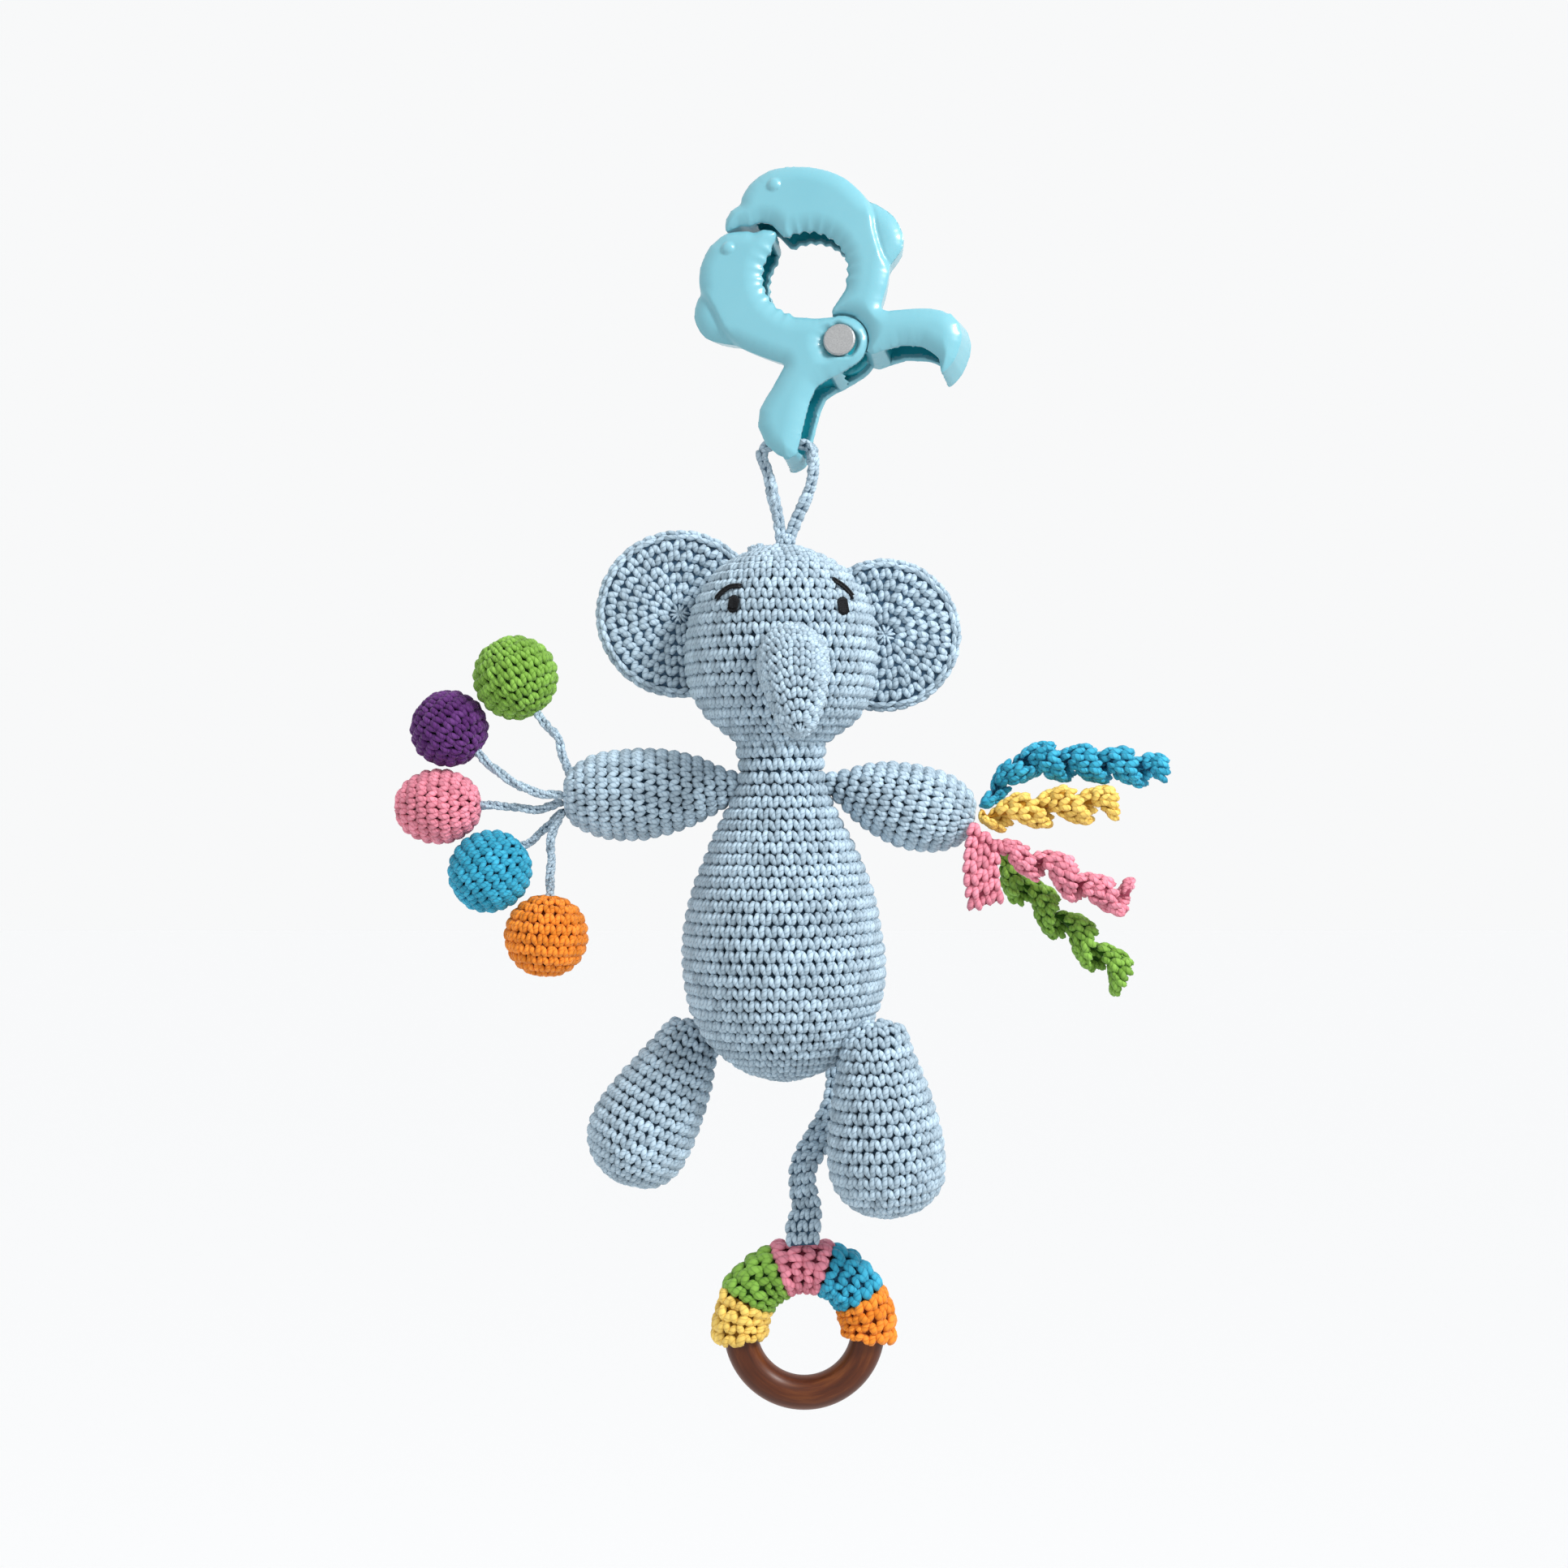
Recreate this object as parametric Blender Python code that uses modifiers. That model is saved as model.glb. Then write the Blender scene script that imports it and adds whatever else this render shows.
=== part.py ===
"""A crocheted elephant toy that hangs from a stroller bar.

A sprung plastic clip with two dolphin-shaped jaws holds the bar. A crocheted loop hangs from the clip's
lower handle and carries the elephant: a head with two flat ears, a trunk and an embroidered face, a body
with two arms and two legs, and a curly tail with a wooden teething ring in a five-coloured sleeve. The
right hand holds five balls on cords and the left hand holds four curly streamers.

+Z is up, the face looks along -Y, and the origin is the middle of the clip's closed jaws, where the bar
runs. Left and right are the elephant's own. Every soft piece is a crocheted cover around a filling, and
stays plain here. Lengths below are in millimetres, and MM turns them into metres.
"""

import math

import bmesh
import bpy
from mathutils import Euler, Vector

MM = 0.001
GAP = 0.35  # between pieces that touch
MERGE = 0.00001  # metres
PAST = 1.0  # how far a cutter runs past the wall it cuts

# The clip, in its own frame: x and z in the plane of the jaws, y through the thickness.
CLIP_TILT = Euler((math.radians(-6), 0, math.radians(-12)))
CLIP_HALF = 9.0  # half of the clip's thickness
CLIP_WALL = 2.2
JAW_RADIUS = 15.2  # from the middle of the opening to the teeth's roots
TOOTH_HEIGHT = 1.1
TOOTH_ANGLE = math.radians(13.5)
PIVOT = (12.7, -24.1)
BOSS_RADIUS = 9.0
BOSS_INSIDE = 6.6  # the lower jaw's boss plates lie outside this y, the upper jaw's hub inside it
HUB_RADIUS = 8.4
RIVET_RADIUS = 5.4
RIVET_SHANK = 2.0
RIVET_SEAT = 1.3  # how deep the rivet's heads are sunk into the boss
RIVET_EDGE = 0.5
SPRING_HALF = 3.8  # half of the room for the spring, across the jaws
SPRING_ROOM_RADIUS = 6.8
COIL_TURNS = 3.25
COIL_RADIUS = 4.4
COIL_HALF = 3.0
COIL_FIRST = -0.6  # radians
COIL_POINTS = 29
WIRE_RADIUS = 0.55
LOOP_HOLE_RADIUS = 3.2
LOOP_LEVEL = -56.6  # where the loop passes through the handle

# The soft pieces. A profile runs from the sewn end to the closed end, as (distance, radius).
COVER_WALL = 2.2
LOOP_RADIUS = 1.8
CORD_RADIUS = 1.35

HEAD_START = (-9.0, 0.0, -159.4)
HEAD_END = (-9.0, 0.0, -92.6)
HEAD_PROFILE = (
    (0.0, 9.5), (1.6, 14.5), (6.3, 23.6), (12.0, 29.2), (19.5, 32.4),
    (30.0, 32.8), (40.0, 31.0), (49.0, 27.0), (57.0, 20.5), (64.0, 11.5), (66.8, 0.0),
)  # fmt: skip
BODY_START = (-8.4, 0.0, -160.6)
BODY_END = (-7.0, 0.0, -272.0)
BODY_PROFILE = (
    (0.0, 4.6), (2.2, 9.0), (6.5, 13.2), (16.0, 17.2), (30.0, 24.2), (46.0, 30.6), (62.0, 33.8),
    (76.0, 34.2), (88.0, 31.6), (99.0, 24.6), (107.3, 14.0), (111.4, 0.0),
)  # fmt: skip
ARM_PROFILE = (
    (0.0, 3.0), (3.0, 6.0), (11.0, 10.4), (20.0, 13.6), (31.0, 15.4), (42.0, 15.0),
    (50.5, 12.4), (56.5, 8.0), (58.8, 0.0),
)  # fmt: skip
RIGHT_SHOULDER = (-25.0, 0.0, -171.6)
RIGHT_HAND = (-82.2, 0.0, -175.8)
LEFT_SHOULDER = (9.4, -1.0, -171.2)
LEFT_HAND = (56.4, -1.0, -183.8)
TRUNK_START = (-6.0, -24.0, -118.0)
TRUNK_END = (-3.0, -56.5, -156.0)
TRUNK_PROFILE = (
    (0.0, 12.2), (8.0, 12.2), (17.0, 11.4), (26.0, 10.2), (35.0, 8.9), (43.0, 7.3), (47.8, 4.6), (50.0, 0.0),
)  # fmt: skip

EAR_THICKNESS = 5.0
EAR_BACK = 5.0  # the ears are sewn on a little behind the middle of the head
EAR_CLEARANCE = 1.8
EARS = {"right_ear": ((-43.2, -113.6), 29.0), "left_ear": ((25.4, -120.0), 26.2)}

# A leg's sections from its sewn edge to its foot, as (distance, half width, half depth).
LEG_SECTIONS = (
    (0.0, 5.5, 2.6), (4.0, 8.5, 6.0), (11.0, 12.0, 11.0), (22.0, 15.4, 15.2), (36.0, 18.4, 18.2),
    (47.0, 19.6, 19.4), (56.0, 17.6, 17.6), (62.5, 11.5, 11.5),
)  # fmt: skip
LEG_LENGTH = 66.0
LEG_SIDES = 16
LEGS = {
    "right_leg": ((-36.0, 6.0, -257.0), (-61.4, 4.0, -304.8), 0.92),
    "left_leg": ((22.5, -17.5, -253.2), (28.0, -16.0, -318.2), 1.0),
}

TAIL_RADIUS = 4.4
TAIL_ROUTE = (
    (2.5, 27.5, -262.0), (8.0, 22.0, -269.0), (7.5, 14.0, -279.0), (5.0, 9.0, -288.0), (0.5, 5.0, -297.0),
    (-3.6, 2.0, -306.0), (-2.0, 0.5, -314.0), (-2.6, 0.0, -323.2),
)  # fmt: skip
RING_CENTRE = (-1.4, 0.0, -355.3)
RING_RADIUS = 21.6
RING_THICKNESS = 5.75  # the wood's own radius
SLEEVE_OUTSIDE = 9.5
SLEEVE_ROOM = 0.65  # between the wood and the sleeve
SLEEVE_SIDES = 10
SLEEVE_ENDS = (192, 152, 112, 70, 29, -12)  # degrees, from the viewer's left over the top

BALL_STEPS = 14
BALL_RINGS = 6
BALL_OPENING = 2.2  # the radius of the hole that the cord is sewn into

# Each ball hangs on its own cord: the ball's middle, half its length along the cord, half its width,
# and the cord's route from the hand to the ball.
BALLS = {
    "green": (
        (-99.3, 0.0, -134.8), 14.4, 14.4,
        ((-81.5, 0.0, -166.6), (-83.0, -0.6, -161.5), (-85.0, -1.0, -155.0), (-88.5, -0.8, -151.0),
         (-91.4, -0.4, -147.8)),
    ),
    "purple": (
        (-121.6, 0.0, -152.0), 13.0, 13.2,
        ((-83.6, -3.4, -174.0), (-92.0, -4.0, -171.6), (-100.5, -3.4, -167.0), (-108.0, -2.0, -161.6),
         (-111.8, -1.0, -159.0)),
    ),
    "pink": (
        (-125.4, 0.0, -178.4), 15.0, 12.9,
        ((-84.6, 0.0, -177.4), (-93.0, 0.0, -179.6), (-101.0, 0.0, -178.4), (-109.8, 0.0, -178.0)),
    ),
    "blue": (
        (-107.8, 0.0, -200.4), 14.5, 13.9,
        ((-84.0, 3.4, -180.6), (-88.5, 4.0, -184.8), (-93.0, 2.6, -189.4), (-96.4, 1.4, -191.4)),
    ),
    "orange": (
        (-88.8, 0.0, -222.2), 14.2, 14.2,
        ((-83.6, -3.0, -181.6), (-86.6, -3.0, -188.0), (-87.0, -1.6, -197.0), (-87.6, -0.4, -207.4)),
    ),
}  # fmt: skip

# Each streamer is a curled strip of crochet: its route from the hand, as (x, y, z, the curl's outer radius).
STREAMERS = {
    "blue": (
        (59.6, 4.5, -178.0, 2.6), (66.0, 4.5, -171.0, 4.6), (75.0, 3.5, -163.4, 5.8), (88.0, 2.0, -163.6, 6.2),
        (102.0, 1.0, -164.2, 6.2), (114.0, 0.0, -165.6, 5.8), (122.8, 0.0, -166.4, 4.0),
    ),
    "yellow": (
        (59.8, -4.2, -180.0, 2.6), (64.0, -5.0, -181.4, 4.6), (72.0, -4.6, -180.0, 5.6),
        (84.0, -3.0, -178.4, 6.0), (96.0, -2.0, -177.8, 5.6), (104.6, -1.5, -177.6, 3.8),
    ),
    "pink": (
        (56.8, -8.6, -187.0, 2.4), (58.0, -10.0, -193.0, 4.6), (61.5, -9.0, -198.5, 5.6),
        (71.0, -7.0, -196.5, 5.2), (83.0, -5.0, -199.6, 5.6), (93.0, -4.0, -206.0, 5.8),
        (103.5, -3.0, -208.4, 5.4), (111.4, -3.0, -208.4, 3.6),
    ),
    "green": (
        (58.0, 8.0, -188.6, 2.6), (64.5, 10.0, -194.0, 4.8), (73.0, 10.0, -205.0, 5.8),
        (84.0, 8.0, -215.5, 6.0), (95.0, 6.0, -225.0, 6.2), (104.0, 4.0, -233.0, 6.0),
        (109.4, 3.0, -238.6, 4.4),
    ),
}  # fmt: skip

COLOURS = {
    "blue_yarn": (0.36, 0.46, 0.53),
    "yarn_green": (0.22, 0.38, 0.07),
    "yarn_purple": (0.09, 0.02, 0.13),
    "yarn_pink": (0.68, 0.24, 0.30),
    "yarn_blue": (0.04, 0.34, 0.49),
    "yarn_orange": (0.79, 0.24, 0.02),
    "yarn_yellow": (0.83, 0.55, 0.11),
    "black_thread": (0.004, 0.005, 0.007),
    "filling": (0.85, 0.85, 0.83),
    "clip_plastic": (0.31, 0.67, 0.76),
    "steel": (0.55, 0.55, 0.55),
    "wood": (0.13, 0.035, 0.012),
}
ROUGHNESS = {"clip_plastic": 0.18, "steel": 0.35, "wood": 0.3}  # yarn, thread and filling are 0.9


def mm(*values):
    return Vector(values) * MM


# ---------------------------------------------------------------- scene, materials and collections


def clear_scene():
    for obj in list(bpy.data.objects):
        bpy.data.objects.remove(obj, do_unlink=True)


def collection(name):
    made = bpy.data.collections.new(name)
    bpy.context.scene.collection.children.link(made)
    return made


def material(name):
    found = bpy.data.materials.get(name)
    if found:
        return found
    made = bpy.data.materials.new(name)
    made.use_nodes = True
    shader = made.node_tree.nodes["Principled BSDF"]
    shader.inputs["Base Color"].default_value = (*COLOURS[name], 1.0)
    shader.inputs["Roughness"].default_value = ROUGHNESS.get(name, 0.9)
    shader.inputs["Metallic"].default_value = 1.0 if name == "steel" else 0.0
    return made


def place(obj, material_name, parent=None):
    """Puts a finished piece into the toy's collection with its material."""
    PARTS.objects.link(obj)
    obj.data.materials.clear()
    obj.data.materials.append(material(material_name))
    obj.parent = parent
    if obj.type == "MESH":
        obj.data.shade_smooth()
        obj.data.set_sharp_from_angle(angle=math.radians(40))
    return obj


def cutter(obj, parent=None):
    CUTTERS.objects.link(obj)
    obj.hide_render = True
    obj.display_type = "WIRE"
    obj.parent = parent
    return obj


def combine(obj, others, operation):
    for other in others:
        step = obj.modifiers.new(other.name, "BOOLEAN")
        step.operation = operation
        step.object = other


# ---------------------------------------------------------------- shapes


def smooth_route(points, step, cyclic=False):
    """Points every step millimetres or less along a smooth curve through the given ones."""
    points = [Vector(p) for p in points]
    count = len(points)
    spans = count if cyclic else count - 1
    made = []
    for i in range(spans):
        here, after = points[i], points[(i + 1) % count]
        before = points[i - 1] if i or cyclic else here
        beyond = points[(i + 2) % count] if i + 2 < count or cyclic else after
        pieces = max(1, round((after - here).length / step))
        for k in range(pieces):
            t = k / pieces
            made.append(
                0.5
                * (
                    2 * here
                    + (after - before) * t
                    + (2 * before - 5 * here + 4 * after - beyond) * t**2
                    + (3 * here - before - 3 * after + beyond) * t**3
                )
            )
    if not cyclic:
        made.append(points[-1])
    return made


def mesh_from(curve_object, name):
    """A mesh object with the curve's evaluated shape, its caps welded on. The curve is removed."""
    graph = bpy.context.evaluated_depsgraph_get()
    mesh = bpy.data.meshes.new_from_object(curve_object.evaluated_get(graph))
    mesh.transform(curve_object.matrix_basis)
    work = bmesh.new()
    work.from_mesh(mesh)
    bmesh.ops.remove_doubles(work, verts=work.verts, dist=MERGE)
    bmesh.ops.recalc_face_normals(work, faces=work.faces)
    work.to_mesh(mesh)
    work.free()
    bpy.data.objects.remove(curve_object, do_unlink=True)
    return bpy.data.objects.new(name, mesh)


def plate(name, outline, half):
    """A flat outline of (x, z) points, half millimetres thick to each side of y = 0."""
    curve = bpy.data.curves.new(name, "CURVE")
    curve.dimensions = "2D"
    curve.fill_mode = "BOTH"
    curve.extrude = half * MM
    spline = curve.splines.new("POLY")
    spline.points.add(len(outline) - 1)
    for point, (x, z) in zip(spline.points, outline):
        point.co = (x * MM, z * MM, 0, 1)
    spline.use_cyclic_u = True
    flat = bpy.data.objects.new(name, curve)
    CUTTERS.objects.link(flat)
    flat.rotation_euler.x = math.radians(90)
    bpy.context.view_layer.update()
    return mesh_from(flat, name)


def cylinder(name, radius, low, high, centre, sides=24, along="Y"):
    """A cylinder along y from low to high around centre (x, z), or along x around centre (y, z)."""
    work = bmesh.new()
    bmesh.ops.create_cone(
        work, cap_ends=True, segments=sides, radius1=radius * MM, radius2=radius * MM, depth=(high - low) * MM
    )
    mesh = bpy.data.meshes.new(name)
    work.to_mesh(mesh)
    work.free()
    made = bpy.data.objects.new(name, mesh)
    middle = (low + high) / 2
    if along == "Y":
        made.rotation_euler.x = math.radians(90)
        made.location = mm(centre[0], middle, centre[1])
    else:
        made.rotation_euler.y = math.radians(90)
        made.location = mm(middle, centre[0], centre[1])
    return made


def turned(name, profile, steps):
    """A solid turned round the local z axis from (radius, z) points, listed down its outer side."""
    mesh = bpy.data.meshes.new(name)
    edges = [(i, i + 1) for i in range(len(profile) - 1)]
    mesh.from_pydata([(r * MM, 0, z * MM) for r, z in profile], edges, [])
    made = bpy.data.objects.new(name, mesh)
    turn = made.modifiers.new("turn", "SCREW")
    turn.steps = steps
    turn.render_steps = steps
    turn.use_merge_vertices = True
    turn.merge_threshold = MERGE
    turn.use_smooth_shade = True
    return made


def inset(profile, distance):
    """A (distance, radius) profile moved inwards by a distance."""
    moved = []
    for i, (along, radius) in enumerate(profile[:-1]):
        before, after = profile[max(i - 1, 0)], profile[i + 1]
        tangent = Vector((after[0] - before[0], after[1] - before[1])).normalized()
        moved.append((along + tangent.y * distance, radius - tangent.x * distance))
    moved.append((profile[-1][0] - distance, 0.0))
    return moved


def aim(obj, start, end):
    """Stands a piece at start so that its local -z points to end."""
    way = Vector(end) - Vector(start)
    obj.location = mm(*start)
    obj.rotation_euler = Vector((0, 0, -1)).rotation_difference(way).to_euler()
    return obj


def cover_and_filling(name, start, end, profile, yarn, steps):
    """A crocheted cover, open at its sewn end, and the filling inside it."""
    inside = inset(profile, COVER_WALL)
    shell = [(r, -d) for d, r in reversed(inside)] + [(r, -d) for d, r in profile]
    stuffing = inset(profile, COVER_WALL + GAP)
    core = [(0.0, -stuffing[0][0])] + [(r, -d) for d, r in stuffing]
    cover = aim(turned(name + "_cover", shell, steps), start, end)
    filling = aim(turned(name + "_filling", core, steps), start, end)
    return place(cover, yarn), place(filling, "filling")


def tube(name, route, radii, yarn, resolution=2):
    """A closed tube of millimetre radii along a route of millimetre points."""
    curve = bpy.data.curves.new(name, "CURVE")
    curve.dimensions = "3D"
    curve.bevel_depth = MM
    curve.bevel_resolution = resolution
    curve.use_fill_caps = True
    spline = curve.splines.new("POLY")
    spline.points.add(len(route) - 1)
    origin = Vector(route[0])
    for point, spot, radius in zip(spline.points, route, radii):
        point.co = (*((Vector(spot) - origin) * MM), 1)
        point.radius = radius
    made = bpy.data.objects.new(name, curve)
    made.location = origin * MM
    return place(made, yarn)


def loft(name, first, sections, last, sides):
    """A solid down local -z from a point, through elliptical sections, to a point."""
    work = bmesh.new()
    rings = []
    for along, half_width, half_depth in sections:
        turns = [2 * math.pi * i / sides for i in range(sides)]
        spots = [mm(half_width * math.cos(a), half_depth * math.sin(a), -along) for a in turns]
        rings.append([work.verts.new(spot) for spot in spots])
    for upper, lower in zip(rings, rings[1:]):
        for i in range(sides):
            j = (i + 1) % sides
            work.faces.new((upper[i], lower[i], lower[j], upper[j]))
    top = work.verts.new(mm(0, 0, -first))
    tip = work.verts.new(mm(0, 0, -last))
    for i in range(sides):
        j = (i + 1) % sides
        work.faces.new((top, rings[0][i], rings[0][j]))
        work.faces.new((rings[-1][i], tip, rings[-1][j]))
    mesh = bpy.data.meshes.new(name)
    work.to_mesh(mesh)
    work.free()
    return bpy.data.objects.new(name, mesh)


# ---------------------------------------------------------------- the clip


def teeth(first, last):
    """Points along the scalloped edge of the opening between two angles in degrees."""
    start, end = math.radians(first), math.radians(last)
    count = round(abs(end - start) / TOOTH_ANGLE)
    made = []
    for i in range(2 * count + 1):
        angle = start + (end - start) * i / (2 * count)
        radius = JAW_RADIUS - TOOTH_HEIGHT * (i % 2)
        made.append((radius * math.cos(angle), radius * math.sin(angle)))
    return made


def arc(centre, radius, first, last, count):
    """Points round a centre from one angle to another, in degrees."""
    angles = [math.radians(first + (last - first) * i / count) for i in range(count + 1)]
    return [(centre[0] + radius * math.cos(a), centre[1] + radius * math.sin(a)) for a in angles]


def flat_curve(points, step):
    return [(p.x, p.y) for p in smooth_route([(x, z, 0) for x, z in points], step)]


def cut(obj, cutters, frame):
    combine(obj, [cutter(shape, frame) for shape in cutters], "DIFFERENCE")


def make_clip():
    """Two sprung levers on one rivet. Each is a channel, open towards the other."""
    frame = bpy.data.objects.new("clip_frame", None)
    PARTS.objects.link(frame)
    frame.rotation_euler = CLIP_TILT
    make_upper_jaw(frame)
    make_lower_jaw(frame)
    make_rivet(frame)
    make_spring(frame)


def make_upper_jaw(frame):
    """The lever whose jaw closes over the bar. Its hub sits between the lower jaw's boss plates."""
    snout = [(-27.9, 15.8), (-28.3, 18.1), (-27.9, 20.6), (-26.2, 23.6), (-22.9, 25.4)]
    back = flat_curve(
        ((-22.8, 27.4), (-19.9, 32.4), (-13.3, 36.9), (-4.4, 37.8), (4.4, 36.5), (13.3, 32.6), (21.7, 24.5)), 3.2
    )
    fin = flat_curve(((23.6, 23.8), (30.2, 18.8), (33.8, 10.6), (32.0, 5.2), (29.2, 1.6)), 3.0)
    waist = [(28.9, -2.0), (28.2, -6.0), (27.0, -10.0), (26.4, -13.2)]
    handle = flat_curve(
        ((28.6, -14.2), (41.0, -13.9), (49.4, -16.2), (53.2, -23.2), (50.6, -32.2), (46.6, -36.2)), 3.4
    )
    under = flat_curve(((45.8, -31.0), (39.8, -26.4), (33.0, -25.9), (23.6, -28.6)), 5.0)
    inside_hub = arc(PIVOT, HUB_RADIUS - 1.5, -20, 112, 8)
    mouth = [(9.6, -15.2), (9.6, -13.2), (14.0, -6.2)]
    lip = flat_curve(((-11.8, 17.8), (-15.5, 18.8), (-19.5, 17.6), (-22.8, 17.8)), 4.0)
    outline = snout + back + fin + waist + handle
    jaw = plate("clip_upper_jaw", outline + under + inside_hub + mouth + teeth(-18, 120) + lip, CLIP_HALF)
    hub_half = BOSS_INSIDE - GAP
    hub = cylinder("upper_hub", HUB_RADIUS, -hub_half, hub_half, PIVOT)
    combine(jaw, [cutter(hub, frame)], "UNION")

    jaw_hollow = flat_curve(
        ((-19.0, 20.6), (-17.0, 29.0), (-8.0, 34.8), (4.0, 34.0), (13.0, 29.0), (21.0, 20.0), (26.0, 8.0),
         (25.6, -2.0), (23.4, -11.0)),
        6.0,
    )  # fmt: skip
    jaw_hollow += [(16.5, -11.4), (8.0, -2.0), (5.0, 5.0), (-2.0, 8.0), (-10.5, 12.0)]
    handle_hollow = [
        (28.4, -16.6), (41.0, -16.2), (48.0, -18.4), (50.8, -23.4), (48.4, -31.4), (44.0, -40.0), (26.4, -40.0),
    ]  # fmt: skip
    spring_way = arc(PIVOT, SPRING_ROOM_RADIUS, 0, -100, 6) + [(PIVOT[0] + 2, -40.0), (PIVOT[0] + 14, -40.0)]
    boss_room = BOSS_RADIUS + 0.6
    end = CLIP_HALF + PAST
    cut(
        jaw,
        (
            plate("upper_jaw_hollow", jaw_hollow, CLIP_HALF - CLIP_WALL),
            plate("upper_handle_hollow", handle_hollow, CLIP_HALF - CLIP_WALL),
            cylinder("upper_front_room", boss_room, -end, -hub_half, PIVOT),
            cylinder("upper_back_room", boss_room, hub_half, end, PIVOT),
            cylinder("upper_pin_hole", RIVET_SHANK + GAP, -end, end, PIVOT, 16),
            plate("spring_room", spring_way, SPRING_HALF),
            cylinder("coil_room", SPRING_ROOM_RADIUS, -SPRING_HALF - 0.01, SPRING_HALF + 0.01, PIVOT),
        ),
        frame,
    )
    place(jaw, "clip_plastic", frame)


def make_lower_jaw(frame):
    """The lever that hangs in line with the loop, with the boss plates and the rivet's seats."""
    belly = flat_curve(((-6.2, -31.2), (-12.5, -29.0), (-19.5, -26.0), (-24.2, -23.6)), 4.0)
    fin = flat_curve(((-26.4, -23.3), (-34.4, -20.7), (-38.7, -13.3), (-37.6, -6.6), (-36.4, -4.6)), 3.0)
    back = flat_curve(((-36.8, -1.6), (-36.6, 3.7), (-33.2, 11.4), (-27.3, 15.8), (-24.3, 16.2)), 3.2)
    lip = flat_curve(((-20.0, 16.2), (-17.8, 15.4), (-14.7, 16.4), (-9.8, 15.0), (-11.6, 10.4)), 3.0)
    boss = [(4.4, -15.7), (PIVOT[0] - 3, -15.5)] + arc(PIVOT, BOSS_RADIUS, 90, -60, 10)
    handle = flat_curve(
        ((11.1, -35.4), (4.4, -39.1), (1.1, -48.6), (-0.4, -56.0), (-1.8, -61.9), (-4.6, -63.4), (-7.9, -62.3),
         (-12.2, -58.6), (-15.2, -52.0), (-14.7, -46.4), (-10.3, -39.1)),
        5.0,
    )  # fmt: skip
    outline = belly + fin + back
    jaw = plate("clip_lower_jaw", outline + lip + teeth(140, 256) + boss + handle, CLIP_HALF)

    jaw_hollow = flat_curve(
        ((-15.0, 13.4), (-22.0, 13.0), (-29.0, 9.6), (-33.6, 1.0), (-33.0, -10.0), (-26.0, -19.0),
         (-14.0, -25.6), (-3.0, -28.0)),
        6.0,
    )  # fmt: skip
    jaw_hollow += [(2.0, -24.0), (2.0, -13.0), (-4.0, -8.0), (-8.0, 0.0), (-8.0, 9.0)]
    handle_hollow = flat_curve(
        ((-4.0, -36.6), (-8.2, -41.6), (-12.3, -48.0), (-12.2, -53.4), (-9.0, -58.6), (-4.6, -60.8)), 6.0
    )
    handle_hollow += [(4.0, -59.0), (14.0, -38.0), (8.0, -34.5)]
    end = CLIP_HALF + PAST
    seat = RIVET_RADIUS + GAP
    seat_floor = CLIP_HALF - RIVET_SEAT
    cut(
        jaw,
        (
            plate("lower_jaw_hollow", jaw_hollow, CLIP_HALF - CLIP_WALL),
            plate("lower_handle_hollow", handle_hollow, CLIP_HALF - CLIP_WALL),
            cylinder("lower_boss_room", HUB_RADIUS + 1.4, -BOSS_INSIDE, BOSS_INSIDE, PIVOT),
            cylinder("lower_pin_hole", RIVET_SHANK + GAP, -end, end, PIVOT, 16),
            cylinder("front_rivet_seat", seat, -end, -seat_floor, PIVOT),
            cylinder("back_rivet_seat", seat, seat_floor, end, PIVOT),
            cylinder("loop_hole", LOOP_HOLE_RADIUS, -20.0, -6.0, (0.0, LOOP_LEVEL), 16, "X"),
        ),
        frame,
    )
    place(jaw, "clip_plastic", frame)


def make_rivet(frame):
    """A shank with a flat head at each end, sunk into the boss plates."""
    low, high = CLIP_HALF - RIVET_SEAT + GAP, CLIP_HALF + 0.3
    half = [(0, high), (RIVET_RADIUS - RIVET_EDGE, high), (RIVET_RADIUS, high - RIVET_EDGE),
            (RIVET_RADIUS, low), (RIVET_SHANK, low)]  # fmt: skip
    rivet = turned("clip_rivet", half + [(r, -y) for r, y in reversed(half)], 24)
    rivet.rotation_euler.x = math.radians(90)
    rivet.location = mm(PIVOT[0], 0, PIVOT[1])
    place(rivet, "steel", frame)


def make_spring(frame):
    """The coil round the rivet that pushes the handles apart and closes the jaws."""
    coil = []
    for i in range(COIL_POINTS):
        share = i / (COIL_POINTS - 1)
        angle = COIL_FIRST - 2 * math.pi * COIL_TURNS * share
        across = COIL_HALF * (2 * share - 1)
        side, up = COIL_RADIUS * math.cos(angle), COIL_RADIUS * math.sin(angle)
        coil.append((PIVOT[0] + side, across, PIVOT[1] + up))
    spring = tube("clip_spring", coil, [WIRE_RADIUS] * COIL_POINTS, "steel", 1)
    spring.parent = frame


# ---------------------------------------------------------------- the loop, the head and what is on it


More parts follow.
